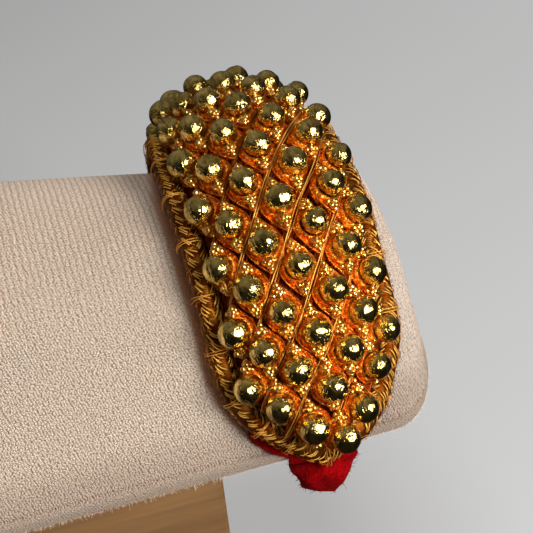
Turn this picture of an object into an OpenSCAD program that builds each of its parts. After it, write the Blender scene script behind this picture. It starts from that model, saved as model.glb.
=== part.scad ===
/* [Loop of the band] */
// Radius of the band's path over the crown of the bar
path_r = 35.5; // [34:0.5:38]
// Lean of the straight front face, as the angle of its normal from straight up
face_angle = 57; // [54:1:60]
// Angle of the normal at which the path turns down behind the crown
turn_angle = 18; // [16:1:24]
// Radius of that turn
turn_r = 9; // [8:0.5:12]
// Lean of the straight back face, as the angle of its normal from straight up
back_angle = 85; // [80:1:88]
// Depth of the path's flat underside below the centre of the crown arc
path_drop = 6; // [5.5:0.5:8]
// Radius of the path's two lower corners
corner_r = 4.9; // [4.6:0.1:5.6]

/* [Padded part] */
// Half of the width of the padded part, edge roll included
band_half_w = 16.3; // [16:0.1:17]
// Length of the padded part from the top of the loop to its front tip
front_l = 61; // [59:0.5:62]
// Length of the padded part from the top of the loop to its back tip
back_l = 49; // [46:0.5:50]
// Length of each pointed end of the padded part
tip_l = 21.6; // [20:0.2:23]
// How far the crown of the padding sinks at each tip
tip_drop = 3.2; // [2.6:0.1:3.6]
// Sideways lean of the front tip
tip_lean = -1; // [-1.2:0.1:0]
// Share of its width that the band loses behind the top
back_narrow = 0.1; // [0:0.01:0.12]
// Sideways lean of the band behind the top
back_lean = 0.6; // [0:0.1:0.8]

/* [Ball units] */
// Diameter of the gold balls
ball_d = 4.6; // [4.3:0.1:4.8]
// Spacing of the columns, measured over the ball centres
column_pitch = 4.5; // [4.4:0.05:4.7]
// Spacing of the units along a column, measured on the path
unit_pitch = 9.06; // [8.9:0.02:9.4]
// Shift of a column against its left neighbour, as a share of the unit spacing
stagger = 0.43; // [0.4:0.01:0.46]
// Number of columns across the band
columns = 7; // [7]
// Radius of the arc across the band on which the ball centres lie
dome_r = 21.3; // [20.8:0.1:22]
// Height of the middle ball centres over the path
ball_h = 9.7; // [9.4:0.1:10.2]
// Place of the first unit of the left column along the path
unit_phase = -18.8; // [-19.2:0.2:-18.4]
// Sideways shift of the units at the front tip, measured over the ball centres
unit_shift = 2; // [0:0.1:2]

/* [Edge roll, velvet and clasp] */
// Width of the wound edge roll
roll_w = 4; // [3.9:0.1:4.4]
// Height of the top of the edge roll over the path
roll_top = 2.1; // [1.8:0.1:2.2]
// Thickness of the velvet backing
backing_t = 1.2; // [1:0.1:1.4]
// How far the velvet backing shows outside the edge roll at the front tip
backing_out = 0.9; // [0.6:0.1:1.2]
// Width of the velvet straps where they leave the padded part
strap_w = 9.8; // [9:0.1:10.4]
// Width of the velvet straps under the bar
tail_w = 6.8; // [6:0.1:8]
// Thickness of the velvet straps
strap_t = 2.6; // [2.2:0.1:3]
// How far the straps hang clear of the bar's underside
strap_sag = 3; // [2:0.2:4]
// Length of the plain clasp that joins the straps
clasp_l = 10; // [8:1:12]

/* [Stand] */
// Length of the padded bar
bar_l = 140; // [130:2:160]
// Distance from the band's path to the bar's plain surface
bar_gap = 2.3; // [2.2:0.1:2.5]
// Radius of the bar's rounded ends
bar_end_r = 9; // [6:0.5:12]
// Distance from the middle of the bar to the middle of the bracelet
band_x = 48.5; // [46:0.5:50]
// Width of the wooden block under the bar
block_w = 65; // [50:1:70]
// Depth of the wooden block, front to back
block_d = 34; // [30:1:40]
// Height of the wooden block
block_h = 55; // [40:1:80]
// Bevel on the edges of the wooden block
block_bevel = 0.8; // [0.4:0.1:1.5]

/* [Hidden] */

// clearance between pieces that lie against each other
gap = 0.1;

// the path as runs, from the top of the loop to the middle of its underside: [length, turn]
function arc(r, turn) = [r * turn * PI / 180, turn];
// length of a straight face at angle a that starts at height z and ends at the lower corner
function face_run(a, z) = (z - corner_r * (1 + cos(a)) + path_drop) / sin(a);
front_face = face_run(face_angle, path_r * cos(face_angle));
front_out = path_r * sin(face_angle) + front_face * cos(face_angle) + corner_r * (1 - sin(face_angle));
back_face = face_run(back_angle, path_r * cos(turn_angle) - turn_r * (cos(turn_angle) - cos(back_angle)));
back_out = path_r * sin(turn_angle) + turn_r * (sin(back_angle) - sin(turn_angle))
    + back_face * cos(back_angle) + corner_r * (1 - sin(back_angle));
front_runs = [arc(path_r, face_angle), [front_face, 0], arc(corner_r, 180 - face_angle),
              [front_out - corner_r, 0]];
back_runs = [arc(path_r, turn_angle), arc(turn_r, back_angle - turn_angle), [back_face, 0],
             arc(corner_r, 180 - back_angle), [back_out - corner_r, 0]];
front_end = sum_l(front_runs);
back_end = sum_l(back_runs);

// place of the crown arc's centre, with the bar's underside on the block and its middle over it
bar_bottom = path_drop - bar_gap;
path_z = block_h + gap + bar_bottom;
path_y = (front_out - back_out) / 2;

// crown of the soft bar along its length: distance from the bar's middle, rise of the crown
bar_crown = [[-70, 2.8], [0, 2.8], [8, 2], [36, -2.5], [52, -2.5], [64, 0], [80, 0]];
// distances from the top, either way, between which the rise fades out
crown_full = 24;
crown_none = 36;

// spacing of stations along the path: most distance, most turn, least distance from an end
station_l = 3.5;
station_turn = 10;
station_least = 0.5;

// outline of the padded part: how blunt its tips are, where the lean and the narrowing set in
tip_power = 0.8;
lean_start = 36;
lean_l = 22;
narrow_start = 8;
narrow_l = 24;
// length over which the crown of the padding sinks at a tip
drop_l = 19;
sink_power = 1.6;

// sides of the balls, collars and bores
round_sides = 24;
// the unit: levels below the ball centre, and sizes
plate_drop = 2.8;
plate_t = 0.5;
collar_r = 1.8;
collar_top = 1.2;
collar_h = plate_drop - plate_t / 2 - collar_top;
thread_drop = 1.6;
bore_r = 0.45;
thread_r = 0.2;
thread_sides = 6;
// share of its own room that a plate fills, and the least room at an edge
plate_share = 0.88;
plate_least = 1.85;
// distance of the outermost ball centres from the outline
unit_margin = 2.9;
first_row = -9;
last_row = 9;
// straight length of a thread either way from a ball, and how far it runs past the last one
thread_straight = 2.4;
thread_over = 0.45;
pad_drop = plate_drop + 2 * gap;

// the roll: where it wraps down round the backing, and how square its section is
roll_in = roll_w / 2;
roll_wrap = 0.5;
wrap_end = 40;
roll_power = 0.7;
roll_sides = 12;
roll_tip_turns = 12;
// stretch of the front tip over which the backing comes out from under the roll
show_start = 45;
show_l = 6;
backing_end = 0.6;
// half width that the backing keeps at its back end, and how much narrower than the strap it ends
backing_least = 1;
backing_less = 1;
backing_parts = 3;
// the padding's distance from the roll and the backing, and the parts of its width
pad_edge = roll_w + 0.5;
pad_end = 0.2;
pad_lift = 0.4;
pad_parts = 5;

// the straps: clearance at each end, lengths over which they leave the bar and come back to it,
// length over which they narrow, and bevel of their edges as a share of their thickness
strap_gap = 0.2;
sag_in = 5;
sag_out = 12;
tail_l = 7;
strap_bevel = 0.3;
clasp_over = 1;

// the bar's middle height and half height, and the steps of its ends and its length
bar_half_h = (path_r + bar_bottom - bar_gap) / 2;
bar_mid_z = path_z + path_r - bar_gap - bar_half_h;
bar_half_y = (front_out + back_out) / 2 - bar_gap;
end_step = 22.5;
bar_step = 9;
sliver = 0.01;

function smooth(v) = let (c = min(1, max(0, v))) c * c * (3 - 2 * c);
function sum_l(runs, i = 0) = i == len(runs) ? 0 : runs[i][0] + sum_l(runs, i + 1);
// from a to b in steps of about d
function steps(a, b, d) = let (n = max(1, ceil(abs(b - a) / d))) [for (i = [0:n]) a + (b - a) * i / n];

// angle of the normal and place, as [angle, out, up], at distance a along the runs
function walk(runs, a, i = 0, t = 0, out = 0, up = path_r) =
    let (l = runs[i][0], turn = runs[i][1], d = min(a, l), t2 = t + turn * d / l,
         r = turn == 0 ? 0 : l / turn * 180 / PI,
         out2 = out + (turn == 0 ? d * cos(t) : r * (sin(t2) - sin(t))),
         up2 = up + (turn == 0 ? -d * sin(t) : r * (cos(t2) - cos(t))))
    a <= l || i == len(runs) - 1 ? [t2, out2, up2] : walk(runs, a - l, i + 1, t2, out2, up2);
// the same at u from the top, toward the front where u is above 0
function path_at(u) = walk(u > 0 ? front_runs : back_runs, abs(u));
function path_angle(u) = sign(u) * path_at(u)[0];

// place of a point at distance u along the path, x across it and h above it
function on_path(u, x, h) = let (p = path_at(u), s = u > 0 ? -1 : 1)
    [band_x + x, path_y + s * (p[1] + h * sin(p[0])), path_z + p[2] + h * cos(p[0])];

// distances from the top at which the path is cut, for one side and for the whole loop
function side_stations(runs, i = 0, a = 0) = i == len(runs) ? [a] : concat(
    [for (s = run_parts(runs[i])) a + s], side_stations(runs, i + 1, a + runs[i][0]));
function run_parts(run) = let (n = max(1, ceil(run[0] / station_l), ceil(run[1] / station_turn)))
    [for (i = [0:n - 1]) run[0] * i / n];
front_stations = side_stations(front_runs);
back_stations = side_stations(back_runs);
stations = concat([for (i = [len(back_stations) - 1:-1:1]) -back_stations[i]], front_stations);
function between(list, lo, hi) = concat([lo],
    [for (s = list) if (s > lo + station_least && s < hi - station_least) s], [hi]);

// height over the path of the bar's surface, x from the bar's middle
function bar_h(u, x) = -bar_gap + lookup(x, bar_crown)
    * (1 - smooth((abs(u) - crown_full) / (crown_none - crown_full)));

// outline of the padded part: half width at u for an outline drawn in by inset
function reach(u) = u > 0 ? front_l : back_l;
function behind(u) = smooth((narrow_start - u) / narrow_l);
function narrow(u) = 1 - back_narrow * behind(u);
function mid_x(u) = tip_lean * smooth((u - lean_start) / lean_l) + back_lean * behind(u);
function half_w(u, inset) = let (v = max(0, abs(u) - reach(u) + tip_l) / (tip_l - inset))
    v >= 1 ? 0 : (band_half_w - inset) * narrow(u) * pow(1 - v * v, tip_power);
// distance along the path to that outline, x from its middle
function half_l(u, x, inset) = let (v = min(1, abs(x) / (band_half_w - inset)))
    reach(u) - tip_l + (tip_l - inset) * sqrt(1 - pow(v, 1 / tip_power));
function sink(u) = tip_drop * pow(max(0, abs(u) - reach(u) + drop_l) / drop_l, sink_power);
// tilt of the padding's surface where its crown sinks
function sink_tilt(u) = sign(u) * atan(sink(u + 0.5 * sign(u)) - sink(u - 0.5 * sign(u)));

// a ball's tilt, centre and normal at u along the path and t across, over the ball centres
function tilt_across(t) = t / dome_r * 180 / PI;
function tilt_along(u) = path_angle(u) + sink_tilt(u);
function unit_centre(u, t) = let (a = tilt_across(t))
    on_path(u, mid_x(u) + narrow(u) * dome_r * sin(a), ball_h - sink(u) - dome_r * (1 - cos(a)));
function unit_normal(u, t) = let (a = tilt_across(t), b = tilt_along(u))
    [sin(a), -sin(b) * cos(a), cos(b) * cos(a)];
function unit_point(u, t, drop) = unit_centre(u, t) - drop * unit_normal(u, t);
function unit_u(j, k) = unit_phase + (k + stagger * j) * unit_pitch;
function unit_t(j, k) = (j - (columns - 1) / 2) * column_pitch
    + unit_shift * smooth((unit_u(j, k) - lean_start) / lean_l);
function unit_fits(j, k) = let (u = unit_u(j, k))
    abs(dome_r * sin(tilt_across(unit_t(j, k)))) < half_w(u, unit_margin) / narrow(u);
// distance across the dome, over the ball centres, to the edge roll
function edge_t(u) = dome_r * PI / 180
    * asin(min(1 - sliver, half_w(u, roll_w) / narrow(u) / (dome_r - plate_drop)));

// how much longer than on the path a step along it is at a drop below the ball centres
function share(v) = min(1, max(0, v / unit_pitch + 0.5));
function stretch(u, t, drop) = let (h = ball_h - dome_r + (dome_r - drop) * cos(tilt_across(t)))
    1 + share(front_runs[0][0] - u) * share(back_runs[0][0] + u) * h / path_r;
// direction of a unit's string: in its own plane, and as a vector
function string_run(u, t) = let (x = -column_pitch * (dome_r - thread_drop) / dome_r,
        y = -(1 - stagger) * unit_pitch * stretch(u, t, thread_drop))
    [x, y] / norm([x, y]);
function string_dir(u, t) = let (d = string_run(u, t), a = tilt_across(t), b = tilt_along(u))
    d[0] * [cos(a), sin(a) * sin(b), -sin(a) * cos(b)] + d[1] * [0, cos(b), sin(b)];

// triangles across a ring of n points, zigzag from its first edge to its last
function cap(n) = [for (i = [0:ceil(n / 2) - 1]) each concat(
    i + 1 < n - 1 - i ? [[i, i + 1, n - 1 - i]] : [],
    i + 1 < n - 2 - i ? [[i + 1, n - 2 - i, n - 1 - i]] : [])];

// joins rings of points, which all have the same count, into one closed solid: a ring of rings,
// or with ends that are one polygon each, in a zigzag where they are thin
module skin(rings, closed = false, thin = false) {
    n = len(rings[0]);
    m = len(rings);
    sides = [for (i = [0:closed ? m - 1 : m - 2]) for (j = [0:n - 1])
        let (a = i * n + j, b = i * n + (j + 1) % n,
             c = (i + 1) % m * n + (j + 1) % n, d = (i + 1) % m * n + j)
        each [[a, b, c], [a, c, d]]];
    ends = closed ? []
        : thin ? [for (f = cap(n)) each [[f[2], f[1], f[0]], f + (m - 1) * n * [1, 1, 1]]]
        : [[for (j = [n - 1:-1:0]) j], [for (j = [0:n - 1]) (m - 1) * n + j]];
    polyhedron([for (r = rings) each r], concat(sides, ends), convexity = 6);
}

module wood_block() color("burlywood")
    translate([0, 0, block_bevel]) {
        linear_extrude(block_h - 2 * block_bevel) block_outline(0);
        for (top = [0, 1])
            translate([0, 0, top * (block_h - 2 * block_bevel)])
                mirror([0, 0, 1 - top])
                    hull() {
                        linear_extrude(sliver) block_outline(0);
                        translate([0, 0, block_bevel - sliver])
                            linear_extrude(sliver) block_outline(block_bevel);
                    }
    }

module block_outline(inset) {
    x = block_w / 2 - inset;
    y = block_d / 2 - inset;
    b = block_bevel;
    polygon([[x, y - b], [x - b, y], [b - x, y], [-x, y - b],
             [-x, b - y], [b - x, -y], [x - b, -y], [x, b - y]]);
}

// one outline of the bar, x from its middle, drawn in on every side by inset
function bar_ring(x, inset) = let (us = concat(front_stations,
        [for (i = [len(back_stations) - 2:-1:1]) -back_stations[i]]))
    [for (u = us) let (p = on_path(u, x - band_x, bar_h(u, x)))
        [x, p[1] * (1 - inset / bar_half_y), bar_mid_z + (p[2] - bar_mid_z) * (1 - inset / bar_half_h)]];

module display_bar() color([0.87, 0.74, 0.64]) {
    e = bar_l / 2 - bar_end_r;
    turns = [for (a = [90:-end_step:0]) bar_end_r * [sin(a), 1 - cos(a)]];
    xs = steps(-e, e, bar_step);
    skin(concat([for (t = turns) bar_ring(-e - t[0], t[1])],
                [for (i = [1:len(xs) - 2]) bar_ring(xs[i], 0)],
                [for (i = [len(turns) - 1:-1:0]) bar_ring(e + turns[i][0], turns[i][1])]));
}

// levels over the path of what lies on the bar
function backing_low(u, x) = bar_h(u, band_x + x) + gap;
function backing_high(u, x) = backing_low(u, x) + backing_t;

// the backing stays inside the roll, apart from the front tip
function backing_inset(u) = let (c = smooth((u - show_start) / show_l)) roll_in * (1 - c) - backing_out * c;
module velvet_backing() color([0.62, 0.03, 0.05])
    skin([for (u = between(stations, roll_in + backing_end - back_l, front_l))
        let (least = u > 0 ? strap_w / 2 - backing_less : backing_least,
             w = max(least, half_w(u, backing_inset(u))), m = mid_x(u),
             xs = [for (i = [-backing_parts:backing_parts]) m + w * i / backing_parts])
        concat([for (x = xs) on_path(u, x, backing_high(u, x))],
               [for (i = [len(xs) - 1:-1:0]) on_path(u, xs[i], backing_low(u, xs[i]))])], thin = true);

// a strap follows the path from the padded part's tip to the clasp, and hangs a little free
module strap(side) color([0.62, 0.03, 0.05]) {
    start = (side > 0 ? front_l : back_l) + strap_gap;
    end = (side > 0 ? front_end : back_end) - clasp_l / 2 - gap;
    c = strap_t * strap_bevel;
    skin([for (a = between(side > 0 ? front_stations : back_stations, start, end))
        let (m = mid_x(side * a), w = (strap_w + (tail_w - strap_w) * smooth((a - start) / tail_l)) / 2,
             lo = gap - bar_gap + strap_sag * smooth((a - start) / sag_in) * smooth((end - a) / sag_out),
             hi = lo + strap_t)
        [for (p = [[-w, lo + c], [-w, hi - c], [c - w, hi], [w - c, hi],
                   [w, hi - c], [w, lo + c], [w - c, lo], [c - w, lo]])
            on_path(side * a, m + side * p[0], p[1])]]);
}
module strap_front() strap(1);
module strap_back() strap(-1);

module clasp() color("gold")
    translate([band_x, path_y, path_z - bar_bottom - gap - strap_t / 2])
        cube([tail_w + 2 * clasp_over, clasp_l, strap_t], center = true);

// the padding: a dome across the band, which sinks at each tip
function pad_h(u, x) = let (r = dome_r - pad_drop) ball_h - dome_r + sqrt(r * r - x * x) - sink(u);
module pad() color([0.75, 0.22, 0.03])
    skin([for (u = between(stations, pad_edge + pad_end - back_l, front_l - pad_edge - pad_end))
        let (w = half_w(u, pad_edge), m = mid_x(u), xs = [for (i = [-pad_parts:pad_parts]) w * i / pad_parts])
        concat([for (x = xs) on_path(u, m + x, pad_h(u, x / narrow(u)))],
               [for (i = [len(xs) - 1:-1:0]) on_path(u, m + xs[i], backing_high(u, m + xs[i]) + pad_lift)])],
         thin = true);

// the route of the edge roll from the top to one tip, as [u, share of the half width]
function roll_quarter(list, l) = concat(
    [for (u = between(list, 0, l - tip_l)) [u, 1]],
    [for (i = [1:roll_tip_turns]) let (a = 90 * i / roll_tip_turns)
        [l - tip_l + (tip_l - roll_in) * sin(a), pow(cos(a), 2 * tip_power)]]);
function roll_route() = let (f = roll_quarter(front_stations, front_l),
        b = roll_quarter(back_stations, back_l),
        w = band_half_w - roll_in) [for (p = concat(
            f, [for (i = [len(f) - 2:-1:0]) [f[i][0], -f[i][1]]],
            [for (i = [1:len(b) - 1]) [-b[i][0], -b[i][1]]],
            [for (i = [len(b) - 2:-1:1]) [-b[i][0], b[i][1]]]))
        [p[0], mid_x(p[0]) + w * narrow(p[0]) * p[1]]];

// the edge roll: a rounded band along the outline, all the way round
module edge_roll() color([0.72, 0.5, 0.12]) {
    route = roll_route();
    n = len(route);
    skin([for (i = [0:n - 1])
        let (p = route[i], q = route[(i + 1) % n], o = route[(i + n - 1) % n],
             d = [q[0] - o[0], q[1] - o[1]], side = [-d[1], d[0]] / norm(d))
        [for (m = [0:roll_sides - 1])
            let (a = 360 * m / roll_sides, c = sign(cos(a)) * pow(abs(cos(a)), roll_power),
                 s = sign(sin(a)) * pow(abs(sin(a)), roll_power),
                 u = p[0] - side[0] * c * roll_in, x = p[1] - side[1] * c * roll_in,
                 wrapped = c < -roll_wrap && p[0] < wrap_end,
                 lo = wrapped ? backing_low(u, x) : backing_high(u, x) + gap)
            on_path(u, x, (roll_top + lo) / 2 + (roll_top - lo) / 2 * s)]], closed = true);
}

// the lozenge plate of a unit, cut back where the edge roll is near
module plate(u, t) {
    pitch = unit_pitch * stretch(u, t, plate_drop) * plate_share;
    lean = (1 / 2 - stagger) * pitch;
    tall = pitch / 2;
    wide = column_pitch * (dome_r - plate_drop) / dome_r * plate_share * narrow(u);
    left = max(plate_least, edge_t(u) + t);
    right = max(plate_least, edge_t(u) - t);
    room = max(plate_least, half_l(u, dome_r * sin(tilt_across(t)), roll_w) - abs(u));
    intersection() {
        polygon([[0, tall], [wide, lean], [0, -tall], [-wide, -lean]]);
        translate([-left, u > 0 ? -room : -2 * tall]) square([left + right, room + 2 * tall]);
    }
}

// one unit: a plate, a collar and a ball, drilled along its string
module unit(u, t) {
    run = string_run(u, t);
    translate(unit_centre(u, t))
        rotate([tilt_along(u), 0, 0])
            rotate([0, tilt_across(t), 0])
                difference() {
                    union() {
                        sphere(d = ball_d, $fn = round_sides);
                        translate([0, 0, -plate_drop + plate_t / 2])
                            cylinder(h = collar_h, r = collar_r, $fn = round_sides);
                        translate([0, 0, -plate_drop]) linear_extrude(plate_t) plate(u, t);
                    }
                    translate([0, 0, -thread_drop])
                        rotate([0, 0, atan2(run[1], run[0]) - 90])
                            rotate([90, 0, 0])
                                cylinder(h = 2 * ball_d, r = bore_r, center = true, $fn = round_sides);
                }
}

module units(front) color([0.83, 0.62, 0.2])
    for (j = [0:columns - 1])
        for (k = [first_row:last_row])
            if (unit_fits(j, k) && (unit_u(j, k) > 0) == front)
                unit(unit_u(j, k), unit_t(j, k));
module units_front() units(true);
module units_back() units(false);

// stops of a thread at one unit: into the ball, its middle and out of it
function thread_stops(u, t) = let (p = unit_point(u, t, thread_drop), d = string_dir(u, t))
    [for (s = [1, 0, -1]) p + s * thread_straight * d];

// the threads that the units are strung on, one for each diagonal of the pattern
module string_threads() color([0.78, 0.56, 0.16])
    for (m = [first_row:last_row + columns]) {
        js = [for (j = [0:columns - 1]) if (unit_fits(j, m - j)) j];
        if (len(js) > 1) {
            ends = [js[0] - thread_over, js[len(js) - 1] + thread_over];
            last = [for (j = ends) unit_point(unit_u(j, m - j), unit_t(j, m - j), thread_drop)];
            stops = [for (j = js) each thread_stops(unit_u(j, m - j), unit_t(j, m - j))];
            points = concat([last[0]], stops, [last[1]]);
            n = len(points);
            up = unit_normal(unit_u(js[0], m - js[0]), unit_t(js[0], m - js[0]));
            skin([for (i = [0:n - 1])
                let (d = points[min(i + 1, n - 1)] - points[max(i - 1, 0)], side = cross(d, up),
                     x = side / norm(side), y = cross(x, d) / norm(cross(x, d)))
                [for (a = [0:thread_sides - 1])
                    let (v = a * 360 / thread_sides) points[i] + thread_r * (cos(v) * x + sin(v) * y)]]);
        }
    }

wood_block();
display_bar();
velvet_backing();
strap_front();
strap_back();
clasp();
pad();
edge_roll();
units_front();
units_back();
string_threads();
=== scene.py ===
import bpy
import numpy as np
from bpy.props import FloatProperty, FloatVectorProperty, IntProperty, PointerProperty
from mathutils import Matrix


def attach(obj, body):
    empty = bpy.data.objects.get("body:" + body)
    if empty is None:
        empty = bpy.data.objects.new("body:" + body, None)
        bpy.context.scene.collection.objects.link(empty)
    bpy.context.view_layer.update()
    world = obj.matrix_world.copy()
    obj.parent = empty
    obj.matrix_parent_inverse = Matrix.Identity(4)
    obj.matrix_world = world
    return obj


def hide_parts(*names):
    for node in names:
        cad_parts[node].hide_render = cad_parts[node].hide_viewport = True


bl_info = {
    "name": "Pochi bracelet on a padded bar",
    "version": (1, 0, 0),
    "blender": (4, 5, 0),
    "location": "3D View > Sidebar > Pochi",
    "description": "Dresses the bracelet and its stand with foil, beads, wound thread and cloth",
    "category": "Add Mesh",
}

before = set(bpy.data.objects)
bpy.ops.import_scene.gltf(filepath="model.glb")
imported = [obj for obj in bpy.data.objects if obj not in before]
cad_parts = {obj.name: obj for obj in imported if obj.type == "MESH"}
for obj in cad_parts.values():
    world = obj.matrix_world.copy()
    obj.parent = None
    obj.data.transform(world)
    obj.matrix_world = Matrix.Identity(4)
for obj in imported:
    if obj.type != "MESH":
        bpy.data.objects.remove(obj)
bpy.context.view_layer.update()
MM = 0.001

# The loop's path, in millimetres and degrees: a round crown, a straight face in front, a tighter turn
# and a steeper face behind, and a rounded corner under each face
PATH_R, FACE_ANGLE, PATH_DROP, CORNER_R = 35.5, 57, 6, 4.9
TURN_ANGLE, TURN_R, BACK_ANGLE = 18, 9, 85

# The band's outline along the path: u runs from the loop's top, above 0 in front and below 0 behind
HALF_W, FRONT_L, BACK_L, TIP_L, TIP_POWER = 16.3, 61, 49, 21.6, 0.8
BACK_NARROW, BACK_LEAN, TIP_LEAN, LEAN_START, LEAN_L = 0.1, 0.6, -1, 36, 22
TIP_DROP, DROP_L, SINK_POWER = 3.2, 19, 1.6

# The lattice of units: t runs across the band from its middle, over a dome
COLUMN_PITCH, UNIT_PITCH, STAGGER, COLUMNS = 4.5, 9.06, 0.43, 7
OUTER_T = COLUMN_PITCH * (COLUMNS - 1) / 2
DOME_R, BALL_H, UNIT_PHASE, UNIT_SHIFT = 21.3, 9.7, -18.8, 2
PLATE_DROP, PLATE_SHARE, PLATE_FALL = 2.8, 0.95, 110

# The border, the velvet and the stand
ROLL_W, ROLL_TOP, BACKING_T, BACKING_OUT = 4.0, 2.1, 1.2, 0.9
STRAP_W, TAIL_W, TAIL_L, STRAP_T, STRAP_SAG, CLASP_L = 9.8, 6.8, 7, 2.6, 3, 10
BAR_L, BAR_GAP, BAR_END_R, BAND_X, BLOCK_H, GAP = 140, 2.3, 9, 48.5, 55, 0.1
SEAM_U, CUT_U = 56.2, 60.4

# Places along the bar, and how far the bar's top rises there
BAR_CROWN = np.array([[-70, 2.8], [0, 2.8], [8, 2], [36, -2.5], [52, -2.5], [64, 0], [80, 0]])


def cosd(a):
    """Cosine of degrees."""
    return np.cos(np.radians(a))


def arc(r, turn):
    """A run of the path with radius r that turns so many degrees."""
    return [r * np.radians(turn), turn]


def face_run(angle, height):
    """Length of a straight face at an angle that starts at a height and ends at the lower corner."""
    a = np.radians(angle)
    return (height - CORNER_R * (1 + np.cos(a)) + PATH_DROP) / np.sin(a)


def walk(runs, a):
    """Angle, distance out and height at distance a along runs of [length, turn], as whole arrays."""
    a = np.asarray(a, float)
    t, out, up = np.zeros_like(a), np.zeros_like(a), np.full_like(a, PATH_R)
    for length, turn in runs:
        d = np.clip(a, 0, length)
        a = a - d
        t2 = t + np.radians(turn) * d / length
        if turn:
            r = length / np.radians(turn)
            out, up = out + r * (np.sin(t2) - np.sin(t)), up + r * (np.cos(t2) - np.cos(t))
        else:
            out, up = out + d * np.cos(t), up - d * np.sin(t)
        t = t2
    return t, out, up


def side_out(runs):
    """How far the runs reach sideways, with the rounding of the lower corner."""
    length, turn = np.sum(runs[:-2], axis=0)
    return walk(runs[:-2], length)[1] + CORNER_R * (1 - np.sin(np.radians(turn)))


# The last run of each side goes back under the bar, and gets its length from the reach of its face
TURN_FALL = TURN_R * (cosd(TURN_ANGLE) - cosd(BACK_ANGLE))
FRONT_RUNS = [arc(PATH_R, FACE_ANGLE), [face_run(FACE_ANGLE, PATH_R * cosd(FACE_ANGLE)), 0],
              arc(CORNER_R, 180 - FACE_ANGLE), [1, 0]]
BACK_RUNS = [arc(PATH_R, TURN_ANGLE), arc(TURN_R, BACK_ANGLE - TURN_ANGLE),
             [face_run(BACK_ANGLE, PATH_R * cosd(TURN_ANGLE) - TURN_FALL), 0],
             arc(CORNER_R, 180 - BACK_ANGLE), [1, 0]]
FRONT_OUT, BACK_OUT = side_out(FRONT_RUNS), side_out(BACK_RUNS)
FRONT_RUNS[-1][0], BACK_RUNS[-1][0] = FRONT_OUT - CORNER_R, BACK_OUT - CORNER_R
FRONT_END, BACK_END = sum(r[0] for r in FRONT_RUNS), sum(r[0] for r in BACK_RUNS)
PATH_Y = (FRONT_OUT - BACK_OUT) / 2
PATH_Z = BLOCK_H + GAP + PATH_DROP - BAR_GAP


def smooth(v):
    """A soft step from 0 to 1 while v goes from 0 to 1."""
    c = np.clip(v, 0, 1)
    return c * c * (3 - 2 * c)


def unit(v):
    """Vectors made one long."""
    return v / np.linalg.norm(v, axis=-1, keepdims=True)


def signed_power(v, power):
    """The size of v to a power, with the sign of v: below 1 it makes a circle squarer."""
    return np.sign(v) * np.abs(v) ** power


def path_at(u):
    """Angle of the normal toward the front, place in y and z, at distance u from the loop's top."""
    u = np.asarray(u, float)
    sides = zip(walk(FRONT_RUNS, np.abs(u)), walk(BACK_RUNS, np.abs(u)))
    t, out, up = (np.where(u > 0, front, back) for front, back in sides)
    side = np.where(u > 0, 1, -1)
    return side * t, PATH_Y - side * out, PATH_Z + up


def on_path(u, x, h):
    """Point at distance u along the path, x across it and h above it, as [..., 3]."""
    u, x, h = np.broadcast_arrays(np.asarray(u, float), np.asarray(x, float), np.asarray(h, float))
    t, y, z = path_at(u)
    return np.stack([BAND_X + x, y - h * np.sin(t), z + h * np.cos(t)], -1)


def bar_h(u, x):
    """Height of the bar's surface over the path, x from the bar's middle. The crown fades down the faces."""
    rise = np.interp(x, BAR_CROWN[:, 0], BAR_CROWN[:, 1])
    return -BAR_GAP + rise * (1 - smooth((np.abs(u) - 24) / 12))


def reach(u):
    """Length of the band on the side of u."""
    return np.where(np.asarray(u) > 0, FRONT_L, BACK_L)


def behind(u):
    """0 on the front of the crown and 1 behind it."""
    return smooth((8 - np.asarray(u, float)) / 24)


def narrow(u):
    """The band's width at u as a share of its width in front."""
    return 1 - BACK_NARROW * behind(u)


def lean(u):
    """0 along the band, rising to 1 at its front tip."""
    return smooth((np.asarray(u, float) - LEAN_START) / LEAN_L)


def mid_x(u):
    """How far the band's middle line has moved across."""
    return TIP_LEAN * lean(u) + BACK_LEAN * behind(u)


def unit_shift(u):
    """How far the units have moved across toward the front tip."""
    return UNIT_SHIFT * lean(u)


def half_w(u, inset):
    """Half width at u of the padded part's outline drawn in by inset."""
    v = np.clip((np.abs(u) - reach(u) + TIP_L) / (TIP_L - inset), 0, 1)
    return (HALF_W - inset) * narrow(u) * np.power(1 - v * v, TIP_POWER)


def sink(u):
    """How far the band has sunk toward its tips."""
    return TIP_DROP * np.power(np.maximum(0, np.abs(u) - reach(u) + DROP_L) / DROP_L, SINK_POWER)


def backing_low(u, x):
    """Height of the backing's lower side, just over the bar's surface."""
    return bar_h(u, BAND_X + x) + GAP


def backing_high(u, x):
    return backing_low(u, x) + BACKING_T


def bulge(u, x):
    """How far the band's right side swells over the crown, in millimetres."""
    return 0.9 * smooth((30 - u) / 12) * smooth((u + 14) / 10) * smooth((x - 3) / 7)


def string_of(u, t):
    """The number of the string at u and t, which is whole along the middle of a string."""
    return (u - UNIT_PHASE) / UNIT_PITCH + (1 - STAGGER) * (t + OUTER_T) / COLUMN_PITCH


def on_string(s, t):
    """The place u of string s at t."""
    return UNIT_PHASE + (s - (1 - STAGGER) * (t + OUTER_T) / COLUMN_PITCH) * UNIT_PITCH


def unit_grid():
    """u and t of every ball: whole strings on every column, where the padding has room for them."""
    column, row = [a.ravel() for a in np.meshgrid(np.arange(COLUMNS), np.arange(-9, 10), indexing="ij")]
    t = column * COLUMN_PITCH - OUTER_T
    u = on_string(column + row, t)
    t = t + unit_shift(u)
    fits = np.abs(DOME_R * np.sin(t / DOME_R)) < half_w(u, 2.9) / narrow(u)
    return u[fits], t[fits]


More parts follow.
